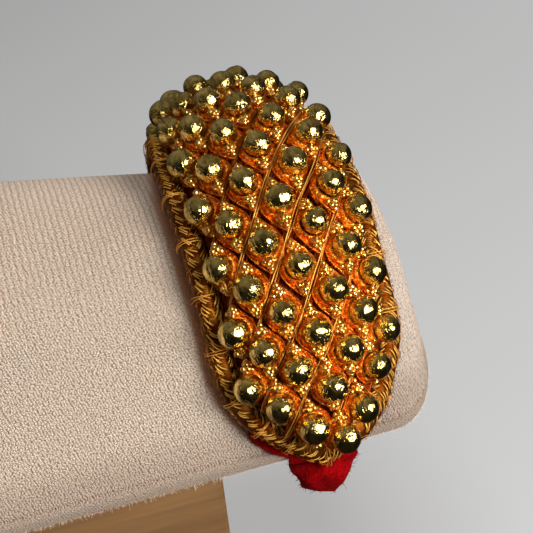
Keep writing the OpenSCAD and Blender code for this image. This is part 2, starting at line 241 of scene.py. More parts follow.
def unit_frames(u, t):
    """Centres of the balls at u along and t across, and their axes across, along and outward, on a dome
    that sinks with the band. The rows close up at the front tip, and the outer columns lie closer."""
    u, t = np.broadcast_arrays(np.asarray(u, float), np.asarray(t, float))
    u = np.where(u > 54, 54 + 0.4 * (u - 54), u) + (0.7 + 0.04 * t) * smooth((u - 49) / 3)
    t = t * (1 - 0.04 * (t / OUTER_T) ** 2)
    a, s = t / DOME_R, np.sign(u)
    b = path_at(u)[0] + s * np.arctan(sink(u + 0.5 * s) - sink(u - 0.5 * s))
    height = BALL_H - sink(u) - DOME_R * (1 - np.cos(a))
    centre = on_path(u, mid_x(u) + narrow(u) * DOME_R * np.sin(a), height)
    across = np.stack([np.cos(a), np.sin(a) * np.sin(b), -np.sin(a) * np.cos(b)], -1)
    along = np.stack([np.zeros_like(b), np.cos(b), np.sin(b)], -1)
    out = np.stack([np.sin(a), -np.sin(b) * np.cos(a), np.cos(b) * np.cos(a)], -1)
    swell = bulge(u, t)[..., None]
    return centre + swell * [1, 0, 0] + 0.3 * swell * out, across, along, out


def in_frames(points, frames):
    """Points [K, V, 3] given across, along and outward of K units, moved to those units."""
    centre, *axes = frames
    return centre[:, None] + sum(points[..., i:i + 1] * axis[:, None] for i, axis in enumerate(axes))


def stretch(u, t, drop):
    """How much longer than on the path a step along it is, a drop below the ball centres."""
    h = BALL_H - DOME_R + (DOME_R - drop) * np.cos(t / DOME_R)
    on_crown = [np.clip(v / UNIT_PITCH + 0.5, 0, 1) for v in (FRONT_RUNS[0][0] - u, BACK_RUNS[0][0] + u)]
    return 1 + on_crown[0] * on_crown[1] * h / PATH_R


# Meshes
def mesh_object(name, verts, faces, material, uv=None, marks=None):
    """A smooth mesh from vertices in millimetres and lists of index arrays, with its own UV and point
    marks, which are one number or three for each vertex."""
    mesh = bpy.data.meshes.new(name)
    verts = np.asarray(verts, float).reshape(-1, 3) * MM
    corners = np.concatenate([np.full(len(f), f.shape[1]) for f in faces])
    starts = np.concatenate([[0], np.cumsum(corners)[:-1]])
    loops = np.concatenate([f.ravel() for f in faces]).astype(np.int32)
    mesh.vertices.add(len(verts))
    mesh.vertices.foreach_set("co", verts.ravel())
    mesh.loops.add(len(loops))
    mesh.loops.foreach_set("vertex_index", loops)
    mesh.polygons.add(len(corners))
    mesh.polygons.foreach_set("loop_start", starts.astype(np.int32))
    mesh.polygons.foreach_set("use_smooth", np.full(len(corners), True))
    if uv is not None:
        layer = mesh.uv_layers.new(name="UVMap")
        layer.data.foreach_set("uv", np.asarray(uv, float).reshape(-1, 2)[loops].ravel())
    for key, values in (marks or {}).items():
        values = np.asarray(values, float)
        triple = values.size == verts.size
        mark = mesh.attributes.new(key, "FLOAT_VECTOR" if triple else "FLOAT", "POINT")
        mark.data.foreach_set("vector" if triple else "value", values.ravel())
    mesh.update(calc_edges=True)
    mesh.validate()
    piece = bpy.data.objects.new(name, mesh)
    bpy.context.scene.collection.objects.link(piece)
    mesh.materials.append(material)
    return piece


def ring_faces(m, n):
    """Quads between m rings of n points."""
    i, j = [a.ravel() for a in np.meshgrid(np.arange(m - 1), np.arange(n), indexing="ij")]
    after = (j + 1) % n
    return np.stack([i * n + j, i * n + after, (i + 1) * n + after, (i + 1) * n + j], -1)


def closed_faces(m, n):
    """Quads between m rings of n points, and triangles to a pole at each end. The poles come last."""
    s = np.arange(n)
    after, last = np.roll(s, -1), (m - 1) * n
    fans = [np.stack([after, s, np.full(n, m * n)], -1),
            np.stack([last + s, last + after, np.full(n, m * n + 1)], -1)]
    return [ring_faces(m, n), np.concatenate(fans)]


def flipped(faces):
    """The same faces, seen from their other side."""
    return [f[:, ::-1] for f in faces]


def copied(faces, points, count):
    """The faces of one shape of so many points, for count shapes one after the other."""
    step = points * np.arange(count)[:, None, None]
    return [(f[None] + step).reshape(-1, f.shape[1]) for f in faces]


def tubes(name, points, normals, radius, sides, material, tone=None):
    """Round tubes along K lines of n points. Each ring lies across the line, from the side axis
    (line direction x normal) and the normal, and each end closes in one point. tone is a number for
    each line, which its material reads."""
    p = np.asarray(points, float)
    k, n = p.shape[:2]
    ahead = np.gradient(p, axis=1)
    side = unit(np.cross(ahead, normals))
    up = unit(np.cross(side, ahead))
    v = np.arange(sides) * 2 * np.pi / sides
    r = np.broadcast_to(np.asarray(radius, float), (k, n))[..., None, None]
    ring = p[:, :, None] + r * (np.cos(v)[:, None] * side[:, :, None] + np.sin(v)[:, None] * up[:, :, None])
    steps = np.linalg.norm(np.diff(p, axis=1), axis=-1)
    length = np.concatenate([np.zeros((k, 1)), np.cumsum(steps, 1)], 1)
    uv = np.stack(np.broadcast_arrays(v / (2 * np.pi), length[..., None]), -1)
    end_uv = np.stack([np.zeros((k, 2)), length[:, [0, -1]]], -1)
    verts = np.concatenate([ring.reshape(k, -1, 3), p[:, [0, -1]]], 1)
    faces = copied(flipped(closed_faces(n, sides)), n * sides + 2, k)
    marks = {} if tone is None else {"tone": np.repeat(tone, n * sides + 2)}
    return mesh_object(name, verts, faces, material, np.concatenate([uv.reshape(k, -1, 2), end_uv], 1), marks)


def unit_sphere(lats, segs):
    """Points and faces of a sphere of radius 1, from its latitudes in degrees and two poles."""
    lat, lon = np.meshgrid(np.radians(lats), np.arange(segs) * 2 * np.pi / segs, indexing="ij")
    rings = np.stack([np.cos(lat) * np.cos(lon), np.cos(lat) * np.sin(lon), np.sin(lat)], -1)
    return np.concatenate([rings.reshape(-1, 3), [[0, 0, -1], [0, 0, 1]]]), closed_faces(len(lats), segs)


def wave(points, seed, size):
    """Smooth seeded noise, mostly between -1 and 1: a fifth of the sum of eight sine waves, each in a
    chance direction and about size long."""
    rng = np.random.default_rng(seed)
    total = 0
    for _ in range(8):
        way = unit(rng.normal(size=3))
        length = size * rng.uniform(0.6, 1.6)
        total = total + np.sin(points @ way * 2 * np.pi / length + rng.uniform(0, 6.3))
    return total / 5


# Materials
class Nodes:
    """Short calls for the nodes of one material or world. Every value goes straight to its own socket."""

    def __init__(self, name, kind="materials"):
        self.owner = getattr(bpy.data, kind).new(name)
        self.owner.use_nodes = True
        self.tree = self.owner.node_tree

    def add(self, kind, out=0, settings=None, **inputs):
        """A new node with its settings and inputs. It gives the output of that number or name."""
        node = self.tree.nodes.new("ShaderNode" + kind)
        for key, value in (settings or {}).items():
            setattr(node, key, value)
        for key, value in inputs.items():
            self.put(node, key, value)
        return node.outputs[out]

    def put(self, node, key, value):
        """Links or sets one input, by its name or as i and its number. A colour gets its alpha here."""
        socket = node.inputs[int(key[1:])] if key[1:].isdigit() else node.inputs[key.replace("_", " ")]
        if isinstance(value, bpy.types.NodeSocket):
            self.tree.links.new(value, socket)
        else:
            socket.default_value = (*value[:3], 1) if socket.type == "RGBA" else value

    def mark(self, name, out=2):
        """A mark on the mesh's points: output 2 reads it as a number and 1 as a place."""
        return self.add("Attribute", out, {"attribute_name": name})

    def coords(self, uv=False, scale=(1, 1, 1), turn=(0, 0, 0)):
        source = self.add("TexCoord", out=2 if uv else 3)
        return self.add("Mapping", Vector=source, Scale=scale, Rotation=turn)

    def noise(self, vector, scale, detail=3.0, rough=0.5, out=0):
        return self.add("TexNoise", out, Vector=vector, Scale=scale, Detail=detail, Roughness=rough)

    def bands(self, vector, direction, scale, distortion, detail, detail_scale=1.0):
        return self.add("TexWave", 0, {"wave_type": "BANDS", "bands_direction": direction}, Vector=vector,
                        Scale=scale, Distortion=distortion, Detail=detail, Detail_Scale=detail_scale)

    def ramp(self, value, *stops):
        node = self.tree.nodes.new("ShaderNodeValToRGB")
        self.tree.links.new(value, node.inputs[0])
        band = node.color_ramp
        for index, (at, colour) in enumerate(stops):
            stop = band.elements[index] if index < 2 else band.elements.new(at)
            stop.position, stop.color = at, (*colour, 1)
        return node.outputs[0]

    def span(self, value, low, high, to_low, to_high):
        return self.add("MapRange", Value=value, From_Min=low, From_Max=high, To_Min=to_low, To_Max=to_high)

    def mix(self, share, a, b):
        return self.add("Mix", 2, {"data_type": "RGBA"}, i0=share, i6=a, i7=b)

    def math(self, operation, *values, clamp=False):
        inputs = {f"i{index}": value for index, value in enumerate(values)}
        return self.add("Math", settings={"operation": operation, "use_clamp": clamp}, **inputs)

    def bump(self, height, distance, strength=1.0, normal=None):
        inputs = {} if normal is None else {"Normal": normal}
        return self.add("Bump", Height=height, Distance=distance, Strength=strength, **inputs)

    def finish(self, **inputs):
        for key, value in inputs.items():
            self.put(self.tree.nodes["Principled BSDF"], key, value)
        return self.owner


def shade(colour, share):
    """The colour made darker or lighter by a share, and never over 1."""
    return tuple(min(1, c * share) for c in colour)


def polished_gold(colour, dull):
    """Mirror gold of the balls. Each ball has its own place, in millimetres from its middle with its
    poles up and down the column: streaks from pole to pole, shallow dents and a duller tarnish."""
    m = Nodes("polished_gold")
    place = m.mark("place", 1)
    drawn = m.noise(m.add("Mapping", Vector=place, Scale=(1, 1, 0.16)), 1.5, 3, 0.6)
    fine = m.noise(m.add("Mapping", Vector=place, Scale=(1, 1, 0.1)), 6.0, 2)
    dents = m.noise(place, 0.8, 2)
    pits = m.noise(place, 5.5, 2)
    tone = m.mix(m.span(dents, 0.35, 0.65, 0.0, 1.0), colour, dull)
    tone = m.mix(m.span(drawn, 0.5, 0.66, 0.0, 0.75), tone, shade(dull, 0.3))
    tone = m.mix(m.span(pits, 0.62, 0.72, 0.0, 0.6), tone, shade(dull, 0.3))
    normal = m.bump(fine, 0.00004, 0.6, m.bump(drawn, 0.00024, 0.9, m.bump(dents, 0.00025, 0.8)))
    return m.finish(Base_Color=tone, Metallic=1.0, Roughness=m.span(pits, 0.3, 0.7, 0.1, 0.22), Normal=normal)


def granule_gold(name, colour):
    """Bright gold of the granules and the clasp, a little rougher than the balls, redder in its pits."""
    m = Nodes(name)
    spots = m.noise(m.coords(), 1500, 2)
    tone = m.ramp(spots, (0.35, tuple(c * f for c, f in zip(colour, (0.8, 0.5, 0.25)))), (0.6, colour))
    return m.finish(Base_Color=tone, Metallic=1.0, Roughness=m.span(spots, 0.3, 0.7, 0.36, 0.22),
                    Normal=m.bump(m.noise(m.coords(), 2600, 2), 0.00008, 0.5))


def lozenge_foil(colour, bright, deep):
    """Orange lacquered foil of the lozenges, crumpled all over: a painted highlight on the raised rings,
    orange between and painted shade in maroon toward the grooves and under the ball, where the mark
    edge is 1. Random bright flecks are painted glints."""
    m = Nodes("lozenge_foil")
    at = m.coords()
    edge = m.mark("edge")
    crumple = m.noise(at, 900, 4, 0.6)
    glints = m.noise(at, 1700, 2)
    deepness = m.math("ADD", edge, m.span(crumple, 0.3, 0.7, -0.25, 0.25), clamp=True)
    # Painted light and shade: bright on the raised rings, orange between, maroon in the hollows.
    tone = m.ramp(deepness, (0.04, bright), (0.85, deep), (0.24, colour), (0.6, shade(colour, 0.5)))
    # Painted glints: random bright flecks, brighter toward the raised rings.
    tone = m.mix(m.span(glints, 0.54, 0.66, 0.0, 0.95), tone, m.mix(edge, bright, colour))
    return m.finish(Base_Color=tone, Metallic=0.88, Specular_IOR_Level=0.1,
                    Roughness=m.span(crumple, 0.3, 0.7, 0.2, 0.38),
                    Normal=m.bump(glints, 0.0003, 0.9, m.bump(crumple, 0.001, 0.9)))


def silk_strands(name, colour, deep):
    """Silk and foil strands over the padding, laid along the strings, dark in the gaps between them."""
    m = Nodes(name)
    fine = m.bands(m.coords(uv=True), "X", scale=0.9, distortion=1.2, detail=2.0, detail_scale=1.5)
    patch = m.noise(m.coords(), 450, 3)
    tone = m.mix(m.span(patch, 0.38, 0.62, 0.0, 1.0), deep, colour)
    tone = m.mix(m.span(fine, 0.1, 0.6, 0.85, 0.0), tone, shade(deep, 0.3))
    return m.finish(Base_Color=tone, Metallic=0.75, Roughness=0.36, Specular_IOR_Level=0.2,
                    Normal=m.bump(fine, 0.00025, 0.9))


def zari_thread(name, colour, dark, bright, rough):
    """Metal-wrapped thread: a fine spiral along each thread, dark from wear with patches of colour. The
    mark tone lifts a thread to the colour at 0.6 and to bright yellow gold at 1."""
    m = Nodes(name)
    wrap = m.bands(m.coords(uv=True), "DIAGONAL", scale=1.885, distortion=0.4, detail=1.0)
    patch = m.noise(m.coords(), 620, 3)
    tone = m.mix(m.span(patch, 0.42, 0.6, 0.0, 0.9), dark, shade(colour, 0.15))
    mark = m.mark("tone")
    tone = m.mix(m.span(mark, 0.0, 0.6, 0.0, 1.0), tone, colour)
    tone = m.mix(m.span(mark, 0.5, 0.95, 0.0, 1.0), tone, bright)
    tone = m.mix(m.span(wrap, 0.0, 0.5, 0.45, 0.0), tone, shade(dark, 0.5))
    return m.finish(Base_Color=tone, Metallic=0.65, Roughness=rough, Specular_IOR_Level=0.0,
                    Normal=m.bump(wrap, 0.00005, 0.6))


def velvet(colour):
    """Deep red velvet: short pile that lightens at the rim, with brushed patches."""
    m = Nodes("red_velvet")
    at = m.coords()
    brushed = m.noise(at, 330, 3)
    pile = m.noise(at, 2600, 3, 0.7)
    tone = m.mix(m.span(brushed, 0.35, 0.65, 0.0, 1.0), shade(colour, 0.35), colour)
    tone = m.mix(m.span(pile, 0.35, 0.6, 0.6, 0.0), tone, shade(colour, 0.12))
    return m.finish(Base_Color=tone, Roughness=0.95, Specular_IOR_Level=0.03,
                    Sheen_Weight=0.12, Sheen_Roughness=0.4, Sheen_Tint=(1.0, 0.03, 0.03),
                    Normal=m.bump(pile, 0.0007, 1.0, m.bump(brushed, 0.0009, 0.5)))


def suede_knit(colour, shadow):
    """Beige suede cloth: lumpy knit cells, wider than tall and tilted a little, in ribs that run round
    the bar and show most over its top, mottled, with a soft nap. Painted shade darkens the gaps between
    the cells, the troughs of the ribs and the thin nap. A mark beside the band paints its shadow in
    dark orange-brown, with painted light bounced from the gold. Painted shade darkens the cloth low on
    the front, from a little above the seam down over the hem and under the bar."""
    m = Nodes("suede_knit")
    flat = m.coords(uv=True)
    lay = m.add("Mapping", Vector=m.coords(uv=True, turn=(0, 0, 0.3)), Scale=(2.2, 3.9, 1))
    sway = m.add("VectorMath", settings={"operation": "MULTIPLY_ADD"}, i0=m.noise(lay, 0.9, 2.0, out=1),
                 i1=(0.6, 0.6, 0), i2=lay)
    cells = m.add("TexVoronoi", settings={"feature": "F1", "voronoi_dimensions": "2D"}, Vector=sway,
                  Scale=1.0, Randomness=0.6)
    ribs = m.bands(flat, "X", scale=0.3, distortion=1.4, detail=2.0, detail_scale=1.2)
    around = m.add("SeparateXYZ", 1, Vector=flat)
    top = m.span(m.math("ABSOLUTE", around), 14.0, 34.0, 0.55, 0.12)
    nap = m.noise(flat, 2.2, 4, 0.7)
    mottle = m.noise(flat, 0.07, 3)
    lump = m.span(cells, 0.1, 0.72, 1.0, 0.0)
    height = m.math("MULTIPLY_ADD", nap, 0.7, m.math("MULTIPLY_ADD", ribs, top, lump))
    tone = m.mix(m.span(mottle, 0.3, 0.7, 0.0, 1.0), colour, shade(colour, 1.06))
    # Painted shade: the gaps between the knit cells, the troughs of the ribs and the thin nap turn toward the
    # shadow colour.
    tone = m.mix(m.span(lump, 0.0, 0.5, 0.95, 0.0), tone, shadow)
    tone = m.mix(m.math("MULTIPLY", m.span(ribs, 0.0, 0.4, 1.0, 0.0), top), tone, shadow)
    tone = m.mix(m.span(nap, 0.36, 0.6, 0.5, 0.0), tone, shadow)
    # Painted shadow with painted light bounced from the band: dark orange-brown beside the band's left side.
    tone = m.mix(m.mark("painted_shadow_and_bounce"), tone, (0.4, 0.11, 0.01))
    # Painted shade low on the front: darker from a little above the seam down over the hem and under the bar.
    tone = m.mix(m.span(around, 49.0, 54.0, 0.0, 0.45), tone, shadow)
    return m.finish(Base_Color=tone, Roughness=0.9, Specular_IOR_Level=0.3, Sheen_Weight=0.2,
                    Sheen_Roughness=0.5, Normal=m.bump(height, 0.0005, 1.0))


def light_wood(colour, dark):
    """Light brown wood: long grain along the bar, fine pores and slow bands."""
    m = Nodes("light_wood")
    grain = m.noise(m.coords(scale=(0.05, 1, 1)), 900, 5, 0.6)
    bands = m.noise(m.coords(scale=(0.12, 1, 1)), 140, 3)
    pores = m.noise(m.coords(scale=(0.03, 1, 1)), 3500, 2)
    tone = m.ramp(bands, (0.3, dark), (0.7, colour))
    tone = m.mix(m.span(grain, 0.3, 0.7, 0.45, 0.0), tone, shade(dark, 0.55))
    return m.finish(Base_Color=tone, Roughness=m.span(grain, 0.3, 0.7, 0.6, 0.45),
                    Normal=m.bump(pores, 0.00006, 0.6, m.bump(grain, 0.00012, 0.5)))


def plain_cloth(name, colour):
    """Plain thread or cloth with a fine fibre."""
    m = Nodes(name)
    fibre = m.noise(m.coords(), 2800, 3)
    tone = m.mix(m.span(fibre, 0.35, 0.65, 0.0, 1.0), shade(colour, 0.6), colour)
    return m.finish(Base_Color=tone, Roughness=0.85, Normal=m.bump(fibre, 0.0003, 0.7))


def dress(piece, slot_name, *nodes):
    """Rides the piece on the part and stands it in for CAD nodes; its slot name is not used."""
    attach(piece, "root")
    if nodes:
        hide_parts(*nodes)
    return piece


# The gold units
def plate_reach(u, t, turn):
    """Distance from a ball's centre to its lozenge's edge in each direction, with rounded corners.
    Each straight edge n.p = 1 adds max(0, n.direction) to a power, and the reach is the root's inverse.
    The edges are the lozenge's four, and the border's inner side at both sides and ahead."""
    u, t = u[:, None], t[:, None]
    pitch = UNIT_PITCH * stretch(u, t, PLATE_DROP) * PLATE_SHARE
    slant, tall = (0.5 - STAGGER) * pitch, pitch / 2
    wide = COLUMN_PITCH * (DOME_R - PLATE_DROP) / DOME_R * PLATE_SHARE * narrow(u)
    x, y = np.cos(turn)[None], np.sin(turn)[None]
    edge = DOME_R * np.arcsin(np.minimum(0.99, half_w(u, ROLL_W) / narrow(u) / (DOME_R - PLATE_DROP)))
    across = np.minimum(1, np.abs(DOME_R * np.sin(t / DOME_R)) / (HALF_W - ROLL_W))
    ahead = reach(u) - TIP_L + (TIP_L - ROLL_W) * np.sqrt(1 - across ** (1 / TIP_POWER)) - np.abs(u)
    walls = [((tall - slant) * x + wide * y) / (wide * tall), ((tall + slant) * x - wide * y) / (wide * tall),
             ((slant - tall) * x - wide * y) / (wide * tall), (wide * y - (tall + slant) * x) / (wide * tall)]
    ways = ((x, edge - t), (-x, edge + t), (-np.sign(u) * y, ahead))
    least, power = 1.85, 14
    walls += [way / np.maximum(least, room) for way, room in ways]
    return sum(np.maximum(w, 0) ** power for w in walls) ** (-1 / power)


def eye_reach(u, t, turn):
    """Distance to the unit's outline: a ring round the ball that runs out to a point at both ends of
    the column, never past the lozenge. A tangent from the point at v meets the ring c at cos a = c / v."""
    ring = 3.1
    point = np.maximum(3.4, UNIT_PITCH * stretch(u, t, PLATE_DROP) * 0.58)[:, None]
    touch = np.arccos(ring / point)
    away = np.abs(np.arctan2(np.cos(turn), np.abs(np.sin(turn))))[None]
    return np.minimum(ring / np.cos(np.maximum(0, touch - away)), plate_reach(u, t, turn))


def ball_share(u, t):
    """Each ball's size as a share of the usual one: a little larger on the left, and uneven."""
    return 1.04 - 0.003 * t + 0.045 * np.sin(12.9 * u + 7.8 * t)


def turned(a, b, angle):
    """Two coordinates turned by an angle."""
    return a * np.cos(angle) - b * np.sin(angle), a * np.sin(angle) + b * np.cos(angle)


def ball_mesh(size, material):
    """Balls: spheres whose poles lie along the column, a little out of round, with a lapped seam down
    one side of some and a lip at one pole: radius = r (1 + two sines of the longitude + a step at the
    seam that dies away + the lip), tilted by chance."""
    u, t = unit_grid()
    rng = np.random.default_rng(5)
    shape, faces = unit_sphere(np.linspace(-82, 82, 19), segs=40)
    lon = np.arctan2(shape[:, 1], shape[:, 0])[None]
    cos_lat = np.sqrt(np.maximum(0, 1 - shape[:, 2] ** 2))[None]
    k = len(u)
    ridge = sum(a * np.sin(n * lon + rng.uniform(0, 6.3, (k, 1))) for n, a in ((2, 0.015), (5, 0.006)))
    seam = np.mod(lon + np.pi / 2 + rng.uniform(-0.9, 0.9, (k, 1)) + np.pi, 2 * np.pi) - np.pi
    lap = rng.uniform(0, 0.06, (k, 1)) * np.tanh(seam / 0.08) * np.exp(-np.abs(seam) / 0.5)
    lip = rng.uniform(0, 0.16, (k, 1)) * np.exp(-(seam / 0.35) ** 2) * smooth((-shape[:, 2] - 0.72) / 0.28)
    radius = size / 2 * ball_share(u, t)[:, None]
    x, y, z = np.moveaxis(shape * (radius * (1 + (ridge + lap) * cos_lat + lip))[..., None], -1, 0)
    tilt, nod = rng.uniform(-0.35, 0.35, (2, k, 1))
    y, z = turned(z, y, nod)
    x, y = turned(x, y, tilt)
    points = in_frames(np.stack([x, y, -z], -1), unit_frames(u, t))
    place = shape * size / 2 + (20 * np.arange(k))[:, None, None]
    return mesh_object("balls", points, copied(faces, len(shape), k), material, marks={"place": place})


def plate_mesh(material):
    """Foil plates: rings of points out from under the ball. The foil stands up round the ball in a
    smooth cup with a rounded lip, falls to a level that swells a little, turns up at the outline in a
    narrow rim and drops into the groove."""
    u, t = unit_grid()
    turn = np.arange(60) * 2 * np.pi / 60
    rho = eye_reach(u, t, turn)[:, None]

    def column(*values):
        """One value for each ring of a plate."""
        return np.array(values)[None, :, None]

    cup = column(1.6, 2.02, 2.12, 2.2, 2.3, 2.48, 2.72)
    cup_z = column(-2.1, -1.4, -1.15, -1.0, -0.98, -1.15, -1.5)
    share = column(0.2, 0.45, 0.68, 0.84, 0.94, 1.0, 1.0)
    share_z = column(-1.78, -1.84, -1.84, -1.72, -1.7, -1.8, -2.7)
    # Painted light and shade for each ring, read by the foil as its mark edge: 0 paints a highlight on the
    # cup's lip, low values light the rim, and 1 paints shade in the hollow under the ball and in the groove.
    painted_light_and_shade = column(1, 0.6, 0.3, 0.1, 0.0, 0.2, 0.45, 0.5, 0.45, 0.4, 0.15, 0.1, 0.6, 1.0)
    inner = cup * np.minimum(1, rho / 2.95)
    r = np.concatenate([inner, inner[:, -1:] + (rho - inner[:, -1:]) * share], 1)
    phase = np.random.default_rng(8).uniform(0, 6.3, (3, len(u), 1, 1))
    crinkle = sum(a * np.sin(n * turn + f) for n, a, f in zip((3, 7, 13), (0.06, 0.06, 0.05), phase))
    z = np.concatenate([cup_z + crinkle * (cup > 2.3), share_z + crinkle * (share < 0.99)], 1)
    z = z - r * r / PLATE_FALL - 0.1
    rings = np.stack([r * np.cos(turn), r * np.sin(turn), z], -1).reshape(len(u), -1, 3)
    pole = np.repeat([[[0, 0, -1.9]]], len(u), 0)
    points = in_frames(np.concatenate([rings, pole], 1), unit_frames(u, t))
    quads, fans = flipped(closed_faces(r.shape[1], len(turn)))
    faces = copied([quads, fans[:len(turn)]], points.shape[1], len(u))
    edge = np.concatenate([np.broadcast_to(painted_light_and_shade, r.shape).reshape(len(u), -1), np.ones((len(u), 1))], 1)
    return mesh_object("foil_plates", points, faces, material, marks={"edge": edge})


def collar_mesh(material):
    """Thin wavy wires: one round the lip of every cup, and one along every plate's outline."""
    u, t = unit_grid()
    turn = np.linspace(0, 2 * np.pi, 61)
    rng = np.random.default_rng(12)
    lift = sum(0.04 * np.sin(n * turn[None] + rng.uniform(0, 6.3, (len(u), 1))) for n in (3, 7, 11))
    rho = eye_reach(u, t, turn)
    r = np.concatenate([2.34 * np.minimum(1, rho / 2.9), rho - 0.05]) + np.tile(lift, (2, 1))
    z = np.concatenate([-1.03 + lift, -1.85 - rho ** 2 / PLATE_FALL + lift])
    frames = [np.concatenate([a, a]) for a in unit_frames(u, t)]
    points = in_frames(np.stack([r * np.cos(turn), r * np.sin(turn), z], -1), frames)
    normals = np.broadcast_to(frames[3][:, None], points.shape)
    return tubes("ball_collars", points, normals, radius=0.085, sides=4, material=material)


def granule_mesh(size, material):
    """Granules in a pyramid at both ends of each lozenge, seeded a little out of line, kept where the
    lozenge has room for them."""
    u, t = unit_grid()
    pyramid = np.array([[-0.8, 2.85, 0], [0, 3.0, 0], [0.8, 2.85, 0], [-0.4, 3.6, 0], [0.4, 3.6, 0],
                        [0, 4.2, 0], [-0.4, 3.15, 0.62], [0.4, 3.15, 0.62], [0, 3.75, 0.6], [0, 2.75, 0.55]])
    spots = np.concatenate([pyramid, pyramid * [-1, -1, 1]])
    rng = np.random.default_rng(21)
    p = spots[None] + rng.normal(0, 0.1, (len(u), len(spots), 3))
    far, turn = np.hypot(p[..., 0], p[..., 1]), np.arctan2(p[..., 1], p[..., 0])
    p[..., 2] += -1.35 - far ** 2 / PLATE_FALL
    around = np.linspace(-np.pi, np.pi, 73)
    room = np.array([np.interp(a, around, b) for a, b in zip(turn, plate_reach(u, t, around))])
    keep = (far < room + 0.25) & (rng.uniform(size=far.shape) > 0.04)
    shape, faces = unit_sphere([-54, -18, 18, 54], segs=8)
    centres = in_frames(p, unit_frames(u, t))[keep]
    radius = size / 2 * rng.uniform(0.86, 1.14, (len(centres), 1, 1))
    points = centres[:, None] + radius * shape
    return mesh_object("granules", points, copied(faces, len(shape), len(centres)), material)


# Silk and threads between the units
def string_lines(first, last, over, n):
    """u and t along the lines that run with the strings, numbered from first to last, cut where they
    meet the edge roll and lengthened by over."""
    s = np.arange(first, last, 1)[:, None]
    t = np.linspace(-16, 16, 321)[None]
    u = on_string(s, t)
    inside = np.abs(DOME_R * np.sin((t + unit_shift(u)) / DOME_R)) * narrow(u) < half_w(u, 3.2)
    some = inside.sum(1) > 12
    s, inside = s[some], inside[some]
    low = t[0][inside.argmax(1)] - over
    high = t[0][inside.shape[1] - 1 - inside[:, ::-1].argmax(1)] + over
    t = low[:, None] + (high - low)[:, None] * np.linspace(0, 1, n)[None]
    u = on_string(s, t)
    return u, t + unit_shift(u)


def laid_thread(name, u, t, across, drop, radius, sides, material, tone=None):
    """Threads on the padding along u and t, moved across their line, a drop below the ball centres."""
    run = unit(np.array([-(1 - STAGGER) * UNIT_PITCH, COLUMN_PITCH]))
    centre, _, _, out = unit_frames(u + across * run[1], t - across * run[0])
    return tubes(name, centre - np.asarray(drop)[..., None] * out, out, radius, sides, material, tone)


def groove_threads(silk, zari, size):
    """Silk strands and gold threads in the grooves between the strings: each strand winds a little
    about the groove's middle, sideways by a sine and up by the cosine, and dips at both ends."""
    u, t = string_lines(-3.5, 20, over=1.2, n=64)
    k, n = u.shape
    rng = np.random.default_rng(31)

    def strands(count, spread, drop, wind):
        across = np.repeat(spread * (np.arange(count) - (count - 1) / 2), k)[:, None]
        uu, tt = np.tile(u, (count, 1)), np.tile(t, (count, 1))
        phase = rng.uniform(0, 6.3, (count * k, 1))
        turn = tt * rng.uniform(0.5, 1.1, (count * k, 1)) + phase
        dip = 1.2 * (1 - smooth((1 - np.abs(np.linspace(-1, 1, n))) / 0.1))
        return uu, tt, across + wind * np.sin(turn), drop + wind * np.cos(turn) + dip

    lines = strands(count=6, spread=0.3, drop=2.3, wind=0.12)
    silk_threads = laid_thread("silk_strands", *lines, radius=0.17, sides=5, material=silk)
    bright = np.tile(np.where(np.arange(k) > k * 0.5, 1.0, 0.1), 2) * np.repeat([1.0, 0.6], k)
    radius = size / 2 * np.repeat([1.0, 0.7], k)[:, None]
    lines = strands(count=2, spread=0.34, drop=1.72, wind=0.08)
    return silk_threads, laid_thread("gold_threads", *lines, radius, sides=6, material=zari, tone=bright)


def string_mesh(zari):
    """The threads that the units are strung on."""
    u, t = string_lines(-4, 20, over=0.6, n=60)
    return laid_thread("string_lines", u, t, across=0.0, drop=2.5, radius=0.15, sides=6, material=zari)


def padding_mesh(material):
    """Silk-covered padding: a dome across the band, closed below, with a shallow ridge along each string."""
    ends = np.array([ROLL_W + 0.7 - BACK_L, FRONT_L - ROLL_W - 0.7])
    u = (ends[0] + (ends[1] - ends[0]) * np.linspace(0, 1, 150)[1:-1])[:, None]
    side = np.concatenate([np.linspace(-1, 1, 49), np.linspace(1, -1, 9)[1:-1]])[None]
    top = np.arange(side.shape[1]) < 49
    x = half_w(u, ROLL_W + 0.3) * side
    r = DOME_R - PLATE_DROP - 0.15
    t = (DOME_R - PLATE_DROP) * np.arcsin(np.clip(x / narrow(u) / r, -1, 1)) * DOME_R / r
    s = string_of(u, t - unit_shift(u))
    dome = np.sqrt(np.maximum(r * r - (x / narrow(u)) ** 2, 0)) - DOME_R
    high = BALL_H + dome - sink(u) + 0.1 * np.cos(2 * np.pi * s)
    low = backing_low(u, mid_x(u) + x) + BACKING_T + 0.4
    p = on_path(u, mid_x(u) + x, np.where(top, high, low))
    verts = np.concatenate([p.reshape(-1, 3), on_path(ends, mid_x(ends), 0.6)])
    uv = np.concatenate([np.stack([s * 5.95, t * 1.3], -1).reshape(-1, 2), np.zeros((2, 2))])
    return mesh_object("silk_padding", verts, flipped(closed_faces(*p.shape[:2])), material, uv)


